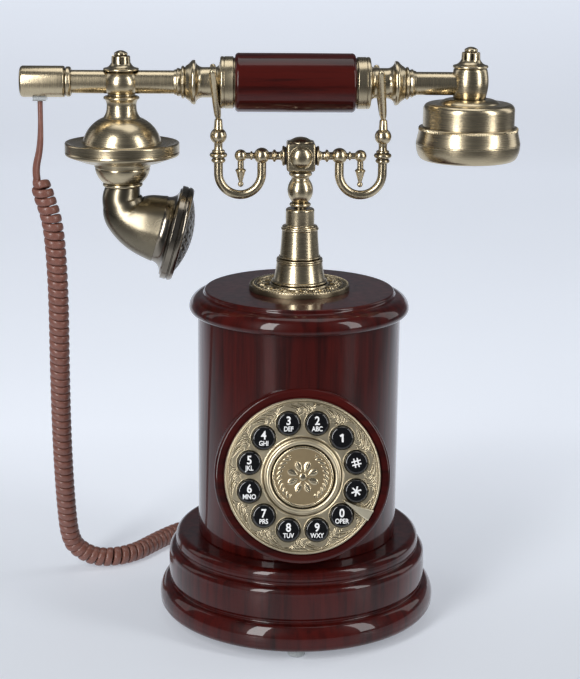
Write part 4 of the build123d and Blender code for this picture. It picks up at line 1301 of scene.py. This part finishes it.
# Each prong is a little flattened, swells from its foot and ends in a small rounded tip:
# distance from the root, half width and half thickness
PRONG_SIDES = 24
PRONG_SHAPE = [
    (0.5, 1.0, 1.0),
    (2.0, 1.6, 1.3),
    (5.0, 1.9, 1.5),
    (14.0, 1.95, 1.5),
    (24.0, 1.85, 1.45),
    (28.6, 1.75, 1.4),
    (30.0, 1.5, 1.25),
    (30.8, 0.8, 0.7),
]
forks = []
for s in (-1, 1):
    for side_sign in (-1, 1):
        spread = Vector((0, side_sign * math.sin(FORK_HALF_ANGLE), math.cos(FORK_HALF_ANGLE)))
        lean = spread * math.cos(FORK_LEAN) - RIGHT * math.sin(FORK_LEAN)
        width_way = (RIGHT - lean * RIGHT.dot(lean)).normalized()
        thick_way = lean.cross(width_way)
        root = Vector((s * FORK_X, 0, FORK_ROOT_Z))
        prong_verts, prong_faces = [], []
        for i, (reach, half_width, half_thickness) in enumerate(PRONG_SHAPE):
            for k in range(PRONG_SIDES):
                turn = math.tau * k / PRONG_SIDES
                across = width_way * math.cos(turn) * half_width
                through = thick_way * math.sin(turn) * half_thickness
                prong_verts.append(root + lean * reach + across + through)
            if i:
                prong_faces += band((i - 1) * PRONG_SIDES, i * PRONG_SIDES, PRONG_SIDES)
        prong_faces += end_faces(len(prong_verts), PRONG_SIDES)
        prong = new_piece("prong", prong_verts, prong_faces, Matrix.Scale(MM, 4), brass_fine)
        prong.modifiers.new("smooth", "SUBSURF").levels = 2
        forks.append(baked(prong))
settle(join("cradle_fork_pair", forks), "cradle", "antique_brass", "cradle_forks")

# ---------------------------------------------------------------- handset

GRIP_PROFILE = [
    (-GRIP_HALF, 0),
    (-GRIP_HALF, 12.6),
    ((-GRIP_HALF + 0.6, GRIP_R - 0.5), (-GRIP_HALF + 2.4, GRIP_R)),
    (0, GRIP_R + 0.05),
    (GRIP_HALF - 2.4, GRIP_R),
    ((GRIP_HALF - 0.6, GRIP_R - 0.5), (GRIP_HALF, 12.6)),
    (GRIP_HALF, 0),
]
grip = turned_along_x("grip_wood", GRIP_PROFILE, wood_grip, GRIP_X)
settle(grip, "handset", "lacquered_wood", "handset_grip")

GRIP_COLLAR_PROFILE = [
    (GRIP_HALF, 0),
    (GRIP_HALF, 12.3),
    (GRIP_HALF + 0.6, 12.3),
    (GRIP_HALF + 0.6, COLLAR_R - 0.5),
    ((GRIP_HALF + 0.8, COLLAR_R - 0.1), (GRIP_HALF + 1.3, COLLAR_R)),
    (COLLAR_END - 2.3, COLLAR_R),
    ((COLLAR_END - 2.05, COLLAR_R - 0.3), (COLLAR_END - 1.8, COLLAR_R)),
    (COLLAR_END - 0.9, COLLAR_R),
    ((COLLAR_END - 0.25, COLLAR_R - 0.3), (COLLAR_END, COLLAR_R - 1.0)),
    (COLLAR_END, 0),
]
collars = mirrored_pair("grip_collar_pair", GRIP_COLLAR_PROFILE, brass_x, GRIP_X)
settle(collars, "handset", "antique_brass", "grip_collars")

FERRULE_END = 60.4
FERRULE_PROFILE = [
    (COLLAR_END, 0),
    (COLLAR_END, 11.4),
    (COLLAR_END + 0.45, 9.6),
    ((COLLAR_END + 0.95, 8.3), (COLLAR_END + 2.2, NECK_R - 0.05)),
    (46.3, NECK_R - 0.05),
    ((48.7, 8.6), (49.9, 10.9)),
    ((51.1, RIDGE_R), (52.0, 10.4)),
    ((53.5, 8.9), (54.6, 8.2)),
    (55.1, 7.4),
    (55.6, 8.0),
    ((56.4, 8.1), (56.9, 7.4)),
    (57.2, 6.7),
    (58.0, 6.9),
    ((58.8, 7.0), (59.3, 6.4)),
    (FERRULE_END, 6.2),
    (FERRULE_END, 0),
]
ferrules = mirrored_pair("grip_ferrule_pair", FERRULE_PROFILE, brass_x, GRIP_X)
settle(ferrules, "handset", "antique_brass", "grip_ferrules")

tubes = []
tube_ends = (
    (TUBE_END_X, MOUTH_X - SOCKET_X),
    (MOUTH_X + SOCKET_X, GRIP_X - FERRULE_END),
    (GRIP_X + FERRULE_END, EAR_X - SOCKET_X),
)
for left, right in tube_ends:
    stretch = [(left, 0), (left, TUBE_R), (right, TUBE_R), (right, 0)]
    tubes.append(turned_along_x("tube", stretch, brass_x, segments=96))
settle(join("handset_tube_set", tubes), "handset", "antique_brass", "handset_tubes")

END_CAP_PROFILE = [
    (TUBE_END_X - 22.4, 0),
    (TUBE_END_X - 22.4, 6.0),
    ((TUBE_END_X - 22.0, 7.25), (TUBE_END_X - 20.9, END_CAP_R)),
    (TUBE_END_X - 1.2, END_CAP_R),
    ((TUBE_END_X - 0.4, 7.5), (TUBE_END_X - 0.2, 6.5)),
    (TUBE_END_X + 0.2, 6.5),
    ((TUBE_END_X + 0.5, 7.3), (TUBE_END_X + 1.3, 7.45)),
    ((TUBE_END_X + 2.4, 7.3), (TUBE_END_X + 3.0, 6.5)),
    (TUBE_END_X + 3.0, 5.75),
    (TUBE_END_X + 0.1, 5.75),
    (TUBE_END_X + 0.1, 0),
]
end_cap = turned_along_x("end_cap_turned", END_CAP_PROFILE, brass_x, segments=112)
settle(end_cap, "handset", "antique_brass", "end_cap")

MOUTH_FITTING_TOP = 290.8
MOUTH_FITTING_PROFILE = [
    (0, 263.5),
    (9.5, 263.6),
    ((8.0, 266.2), (7.5, 269.2)),
    ((7.7, 271.6), (8.3, 272.8)),
    ((9.05, 273.6), (8.6, 274.4)),
    (6.9, 275.0),
    (6.9, 275.7),
    ((DRUM_R, 281.2), (7.2, 286.4)),
    (6.9, 286.9),
    (8.3, 287.2),
    ((8.95, 287.8), (8.4, 288.4)),
    ((6.1, 289.3), (5.0, MOUTH_FITTING_TOP)),
    (0, MOUTH_FITTING_TOP),
]
turned_brass("mouth_fitting", MOUTH_FITTING_PROFILE, "handset", "transmitter_fitting", MOUTH_X, steps=14)

EAR_FITTING_TOP = 293.6
EAR_FITTING_PROFILE = [
    (0, 273.8),
    (7.9, 273.8),
    ((DRUM_R, 281.6), (8.5, 288.6)),
    (8.1, 289.2),
    ((8.9, 289.9), (8.4, 290.8)),
    ((6.1, 291.8), (4.8, EAR_FITTING_TOP)),
    (0, EAR_FITTING_TOP),
]
turned_brass("ear_fitting", EAR_FITTING_PROFILE, "handset", "receiver_fitting", EAR_X, steps=12)


NUT_SLOTS = 8
SLOT_DEPTH = 1.1
NUT_NECK_R = 3.9


def castle(radius, height, turn):
    """Slots round the crown of a finial nut."""
    if radius < NUT_NECK_R:
        return 0.0
    notch = math.cos(turn * NUT_SLOTS)
    return -SLOT_DEPTH * smooth_step((notch - 0.55) / 0.2)


nuts = []
for nut_x, foot in ((MOUTH_X, MOUTH_FITTING_TOP), (EAR_X, EAR_FITTING_TOP)):
    nut = [
        (0, foot),
        (4.75, foot),
        (4.6, foot + 3.3),
        (4.3, foot + 3.6),
        (2.9, foot + 3.6),
        ((3.4, foot + 4.5), (2.6, foot + 5.5)),
        dome(2.6, foot + 5.5, foot + 6.3),
    ]
    nuts.append(turned("nut", nut, brass_z, (nut_x, 0, 0), segments=192, steps=8, ripple=castle))
settle(join("finial_nut_pair", nuts), "handset", "antique_brass", "finial_nuts")

DISC_R = 28.8
TRANSMITTER_PROFILE = [
    (0, 263.6),
    (9.7, 263.6),
    ((16.2, 258.9), (19.8, 251.7)),
    ((20.1, 250.9), (20.8, 250.6)),
    ((22.8, 250.45), (24.6, 250.7)),
    (27.6, 251.45),
    ((28.5, 251.4), (DISC_R, 250.6)),
    (DISC_R, 247.2),
    (28.55, 247.0),
    (28.75, 246.7),
    ((28.6, 245.3), (27.6, 244.7)),
    (20.4, 242.0),
    (14.6, 241.3),
    (14.3, 240.6),
    (14.2, 239.2),
    (13.75, 238.7),
    (13.9, 238.3),
    ((12.8, 234.6), (10.2, 231.3)),
    (9.6, 230.9),
    ((10.1, 230.1), (9.2, 229.0)),
    (0, 229.0),
]
turned_brass(
    "transmitter_bell_turned", TRANSMITTER_PROFILE, "handset", "transmitter_bell", MOUTH_X, steps=12
)

# Horn: circles along a smooth line through the CAD's sections, each (x, z, drop in degrees, radius)
HORN_SECTIONS = [
    (MOUTH_X, 229.0, 90.0, 8.6),
    (-90.3, 221.5, 72.0, 10.2),
    (-88.0, 215.8, 50.0, 12.5),
    (-80.4, 210.4, 25.0, 15.4),
    (-71.6, 207.3, HORN_DROP, HORN_R),
]
HORN_STEPS = 12


def hermite(p, q, slope_p, slope_q, t):
    """Point between p and q on the cubic with the given slopes at its ends."""
    a = 2 * t**3 - 3 * t**2 + 1
    b = t**3 - 2 * t**2 + t
    c = -2 * t**3 + 3 * t**2
    d = t**3 - t**2
    return p * a + slope_p * b + q * c + slope_q * d


def dropping(degrees):
    """Direction along the handset that drops by an angle."""
    return Vector((math.cos(math.radians(degrees)), 0, -math.sin(math.radians(degrees))))


section_radii = [section[3] for section in HORN_SECTIONS]
radius_slopes = np.gradient(section_radii)
horn_line, horn_radii = [], []
for i, (a, b) in enumerate(zip(HORN_SECTIONS, HORN_SECTIONS[1:])):
    start, end = Vector((a[0], 0, a[1])), Vector((b[0], 0, b[1]))
    gap = (end - start).length
    for k in range(HORN_STEPS):
        t = k / HORN_STEPS
        horn_line.append(hermite(start, end, dropping(a[2]) * gap, dropping(b[2]) * gap, t))
        horn_radii.append(hermite(a[3], b[3], radius_slopes[i], radius_slopes[i + 1], t))
horn_line.append(end)
horn_radii.append(section_radii[-1])
horn = tube("mouth_horn_elbow", horn_line, horn_radii, horn_brass_painted_shade, 120)
settle(horn, "handset", "antique_brass", "mouth_horn")

HORN_FORWARD = dropping(HORN_DROP)
HORN_MOUTH = horn_line[-1]
GRILLE_SEAT = 11.4
RIM_PROFILE = [
    (14.0, 1.0),
    (HORN_R - 0.3, -0.3),
    ((18.4, 3.6), (22.4, 5.3)),
    (22.8, 6.0),
    (HORN_RIM_R - 0.4, 6.1),
    ((HORN_RIM_R - 0.1, 6.2), (HORN_RIM_R, 6.5)),
    (HORN_RIM_R, 8.9),
    (HORN_RIM_R - 0.5, 9.2),
    (HORN_RIM_R - 0.5, 9.5),
    (HORN_RIM_R, 9.8),
    ((HORN_RIM_R - 0.2, 11.3), (HORN_RIM_R - 1.1, 12.3)),
    (GRILLE_R + 0.7, 12.5),
    (GRILLE_R, GRILLE_SEAT),
    (14.0, GRILLE_SEAT - 0.2),
]
rim = turned("mouth_rim_turned", RIM_PROFILE, rim_metal, HORN_MOUTH, HORN_FORWARD)
settle(rim, "handset", "antique_brass", "mouth_rim")


GRILLE_RISE = 5.6
GRILLE_T = 0.6
HOLE_PITCH = 4.6
HOLE_R = 0.95


def perforated(name, matrix, material, radius, rise, pitch, hole_r, sides=18):
    """Domed surface with round holes on a hexagonal grid, each hole framed by one hexagonal cell."""
    verts, faces = [], []
    sphere_r = (radius**2 + rise**2) / (2 * rise)

    def lift(x, y):
        r = min(math.hypot(x, y), radius)
        return math.sqrt(sphere_r**2 - r * r) - (sphere_r - rise)

    rows = int(radius / pitch) + 2
    for row in range(-rows, rows + 1):
        for col in range(-rows, rows + 1):
            cx = pitch * (col + 0.5 * (row % 2))
            cy = pitch * row * math.sqrt(3) / 2
            if math.hypot(cx, cy) > radius - pitch * 0.35:
                continue
            first = len(verts)
            for k in range(sides):
                turn = math.tau * k / sides
                sector = (turn + math.pi / 6) % (math.pi / 3) - math.pi / 6
                outer = pitch / 2 / math.cos(sector)
                for reach in (hole_r, outer):
                    x, y = cx + reach * math.cos(turn), cy + reach * math.sin(turn)
                    verts.append((x, y, lift(x, y)))
            for k in range(sides):
                n = (k + 1) % sides
                faces.append([first + 2 * k, first + 2 * k + 1, first + 2 * n + 1, first + 2 * n])
    sheet = new_piece(name, verts, faces, matrix, material, 60)
    merge = bmesh.new()
    merge.from_mesh(sheet.data)
    bmesh.ops.remove_doubles(merge, verts=merge.verts, dist=2e-5)
    merge.to_mesh(sheet.data)
    merge.free()
    return sheet


grille_place = placed(HORN_MOUTH + HORN_FORWARD * (GRILLE_SEAT - 0.4), HORN_FORWARD, UP)
grille = perforated(
    "mouth_grille_sheet", grille_place, grille_dark, GRILLE_R, GRILLE_RISE, HOLE_PITCH, HOLE_R
)
grille_sheet = grille.modifiers.new("thickness", "SOLIDIFY")
grille_sheet.thickness = GRILLE_T * MM
grille_sheet.offset = -1
settle(grille, "handset", "antique_brass", "mouth_grille")
# Near-black dome behind the grille: painted shade seen through its holes
BACKING_PROFILE = [(0, 10.0), (20.4, 10.0), (20.4, 10.4), ((12.0, 13.9), (0, 15.4))]
backing = turned("mouth_backing", BACKING_PROFILE, painted_gap_shade, HORN_MOUTH, HORN_FORWARD)
settle(backing, "handset", "antique_brass")

CUP_PROFILE = [
    (0, 273.8),
    (9.4, 274.0),
    ((12.6, 273.6), (14.9, 272.4)),
    (15.3, 271.9),
    (19.6, 271.8),
    ((22.2, 270.9), (23.1, 268.2)),
    (23.15, 259.4),
    (0, 259.4),
]
turned_brass("receiver_cup_turned", CUP_PROFILE, "handset", "receiver_cup", EAR_X, steps=12)

EAR_CAP_PROFILE = [
    (0, 259.4),
    (24.3, 259.4),
    (24.9, 258.9),
    (25.7, 255.2),
    (26.35, 252.2),
    ((26.4, 251.9), (26.2, 251.7)),
    ((26.4, 251.5), (26.4, 251.2)),
    ((26.0, 247.8), (25.0, 245.0)),
    ((23.6, 243.6), (21.0, 243.3)),
    ((17.5, 243.7), (15.0, 244.9)),
    ((9.0, 246.3), (0, 246.9)),
]
turned_brass("receiver_cap_turned", EAR_CAP_PROFILE, "handset", "receiver_cap", EAR_X, steps=12)


SERRATION_PROFILE = [(23.2, 258.6), (25.0, 258.4), (24.95, 259.5), (24.5, 259.9), (23.3, 260.0)]
TEETH = 120
TOOTH_DEPTH = 0.22


def serration(radius, height, turn):
    """Fine teeth round the outer side of the earpiece's band."""
    return TOOTH_DEPTH * math.cos(turn * TEETH) if radius > 24 else 0.0


serrated = turned(
    "ear_cap_serration", SERRATION_PROFILE, brass_z, (EAR_X, 0, 0), segments=960, ripple=serration, angle=25
)
settle(serrated, "handset", "antique_brass")

# ---------------------------------------------------------------- CAD nodes that stay

node_finish = {
    "rubber_feet": foot_rubber,
    "bottom_cover": inner_black,
    "cover_screws": screw_steel,
    "ringer": inner_black,
    "handset_jack": inner_black,
    "line_jack": inner_black,
    "hook_switch": inner_black,
    "keypad_board": board_green,
    "handset_plug": clear_plastic,
    "base_plug": clear_plastic,
}
for node_name, material in node_finish.items():
    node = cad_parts[node_name]
    node.data.materials.clear()
    node.data.materials.append(material)

# ---------------------------------------------------------------- floor, light and camera

# The paper lies flat, curves up behind the object and ends as a wall, in metres
FLOOR_FRONT = -1.6
FLOOR_BACK = 1.5
FLOOR_HALF_WIDTH = 4.0
WALL_R = 0.9
WALL_HEIGHT = 3.0
WALL_STEPS = 24
floor_profile = [(FLOOR_FRONT, 0.0), (FLOOR_BACK, 0.0)]
for i in range(1, WALL_STEPS + 1):
    turn = math.pi / 2 * i / WALL_STEPS
    floor_profile.append((FLOOR_BACK + WALL_R * math.sin(turn), WALL_R * (1 - math.cos(turn))))
floor_profile.append((FLOOR_BACK + WALL_R, WALL_HEIGHT))
floor_verts, floor_faces = [], []
for y, z in floor_profile:
    floor_verts += [(-FLOOR_HALF_WIDTH, y, z), (FLOOR_HALF_WIDTH, y, z)]
for i in range(len(floor_profile) - 1):
    floor_faces.append([2 * i, 2 * i + 1, 2 * i + 3, 2 * i + 2])

# The paper glows a little behind and round the object. It is darker in front, far to the sides and
# high up, so that the lacquer mirrors dark surroundings.
DARK_TABLE = (0.16, 0.162, 0.17)
SIDE_TABLE = (0.20, 0.204, 0.215)
WALL_GREY = (0.34, 0.35, 0.37)
FLOOR_GLOW = 0.58
WALL_GLOW = 0.74
NEAR_FADE = (-0.50, -0.22)
SIDE_FADE = (0.28, 0.55)
HIGH_FADE = (0.33, 0.42)
GLOW_FADE = (-0.42, 0.32)
GLOW_RISE = (0.0, 0.25)
STRIP_WIDENING = 0.35
BLACK = (0, 0, 0)


def make_paper():
    recipe = Recipe("studio_paper")
    texture = recipe.noise(3.0, detail=2.0)
    axes = recipe.axes()
    # The lit strip of paper widens towards the back
    sideways = recipe.calculate("ABSOLUTE", axes["X"])
    beside = recipe.calculate("MULTIPLY_ADD", axes["Y"], -STRIP_WIDENING, sideways)
    near = recipe.span(axes["Y"], 0.0, 1.0, *NEAR_FADE)
    aside = recipe.span(beside, 1.0, 0.12, *SIDE_FADE)
    high = recipe.span(axes["Z"], 1.0, 0.0, *HIGH_FADE)
    sheet = recipe.ramp(texture, [(0.3, (0.54, 0.565, 0.60)), (0.7, (0.57, 0.595, 0.63))])
    sheet = recipe.mix(aside, SIDE_TABLE, sheet)
    sheet = recipe.mix(high, WALL_GREY, sheet)
    recipe.link(recipe.mix(near, DARK_TABLE, sheet), "Base Color")
    from_front = recipe.span(axes["Y"], 0.0, 1.0, *GLOW_FADE)
    upwards = recipe.span(axes["Z"], FLOOR_GLOW, WALL_GLOW, *GLOW_RISE)
    lit_strip = recipe.mix(aside, BLACK, from_front)
    lit_height = recipe.mix(high, BLACK, upwards)
    glow = recipe.calculate("MULTIPLY", lit_strip, lit_height)
    recipe.link(glow, "Emission Strength")
    recipe.set(Roughness=0.42, Specular_IOR_Level=0.3, Emission_Color=(0.83, 0.88, 0.98, 1))
    return recipe.material


floor = new_piece("studio_floor", floor_verts, floor_faces, Matrix.Identity(4), make_paper())

world = bpy.data.worlds.new("studio")
bpy.context.scene.world = world
world.use_nodes = True
sky = world.node_tree.nodes["Background"]
sky.inputs["Color"].default_value = (0.80, 0.87, 1.0, 1)
sky.inputs["Strength"].default_value = 0.09


def softbox(name, place, target, width, height, power):
    """Soft rectangular light at a place in metres, turned to its target, with its power in watts."""
    data = bpy.data.lights.new(name, "AREA")
    data.shape = "RECTANGLE"
    data.size = width
    data.size_y = height
    data.energy = power
    light = bpy.data.objects.new(name, data)
    bpy.context.collection.objects.link(light)
    light.location = place
    light.rotation_mode = "QUATERNION"
    light.rotation_quaternion = (Vector(target) - Vector(place)).to_track_quat("-Z", "Y")


softbox("left_box", (-0.95, 0.35, 0.60), (0, 0, 0.20), 0.40, 0.9, 1.0)
softbox("right_box", (0.95, 0.35, 0.60), (0, 0, 0.20), 0.40, 0.9, 1.5)
softbox("key_left", (-0.58, -0.86, 0.70), (0, 0, 0.55), 0.26, 1.15, 12)
softbox("key_right", (0.86, -0.58, 0.70), (0, 0, 0.55), 0.26, 1.15, 6.5)
softbox("top_box", (0.05, 0.10, 1.5), (0, 0, 0.1), 1.1, 0.7, 4)

bpy.context.scene.view_settings.view_transform = "Standard"

# The camera stands a little to the object's left and looks down on it
CAMERA_PLACE = Vector((-36.6, -854.7, 371.2)) * MM
CAMERA_HEADING = math.radians(2.15)
CAMERA_PITCH = math.radians(14.575)
CAMERA_ROLL = math.radians(0.54)
LENS = 90.13

heading = Vector((math.sin(CAMERA_HEADING), math.cos(CAMERA_HEADING), 0))
forward = heading * math.cos(CAMERA_PITCH) - UP * math.sin(CAMERA_PITCH)
level_right = Vector((math.cos(CAMERA_HEADING), -math.sin(CAMERA_HEADING), 0))
level_up = level_right.cross(forward)
rolled_right = level_right * math.cos(CAMERA_ROLL) + level_up * math.sin(CAMERA_ROLL)
rolled_up = level_up * math.cos(CAMERA_ROLL) - level_right * math.sin(CAMERA_ROLL)
camera_data = bpy.data.cameras.new("photo_view")
camera_data.lens = LENS
camera_data.clip_start = 0.05
camera_data.clip_end = 20
camera = bpy.data.objects.new("photo_view", camera_data)
bpy.context.collection.objects.link(camera)
turn = Matrix((rolled_right, rolled_up, -forward)).transposed().to_4x4()
camera.matrix_world = Matrix.Translation(CAMERA_PLACE) @ turn
bpy.context.scene.camera = camera
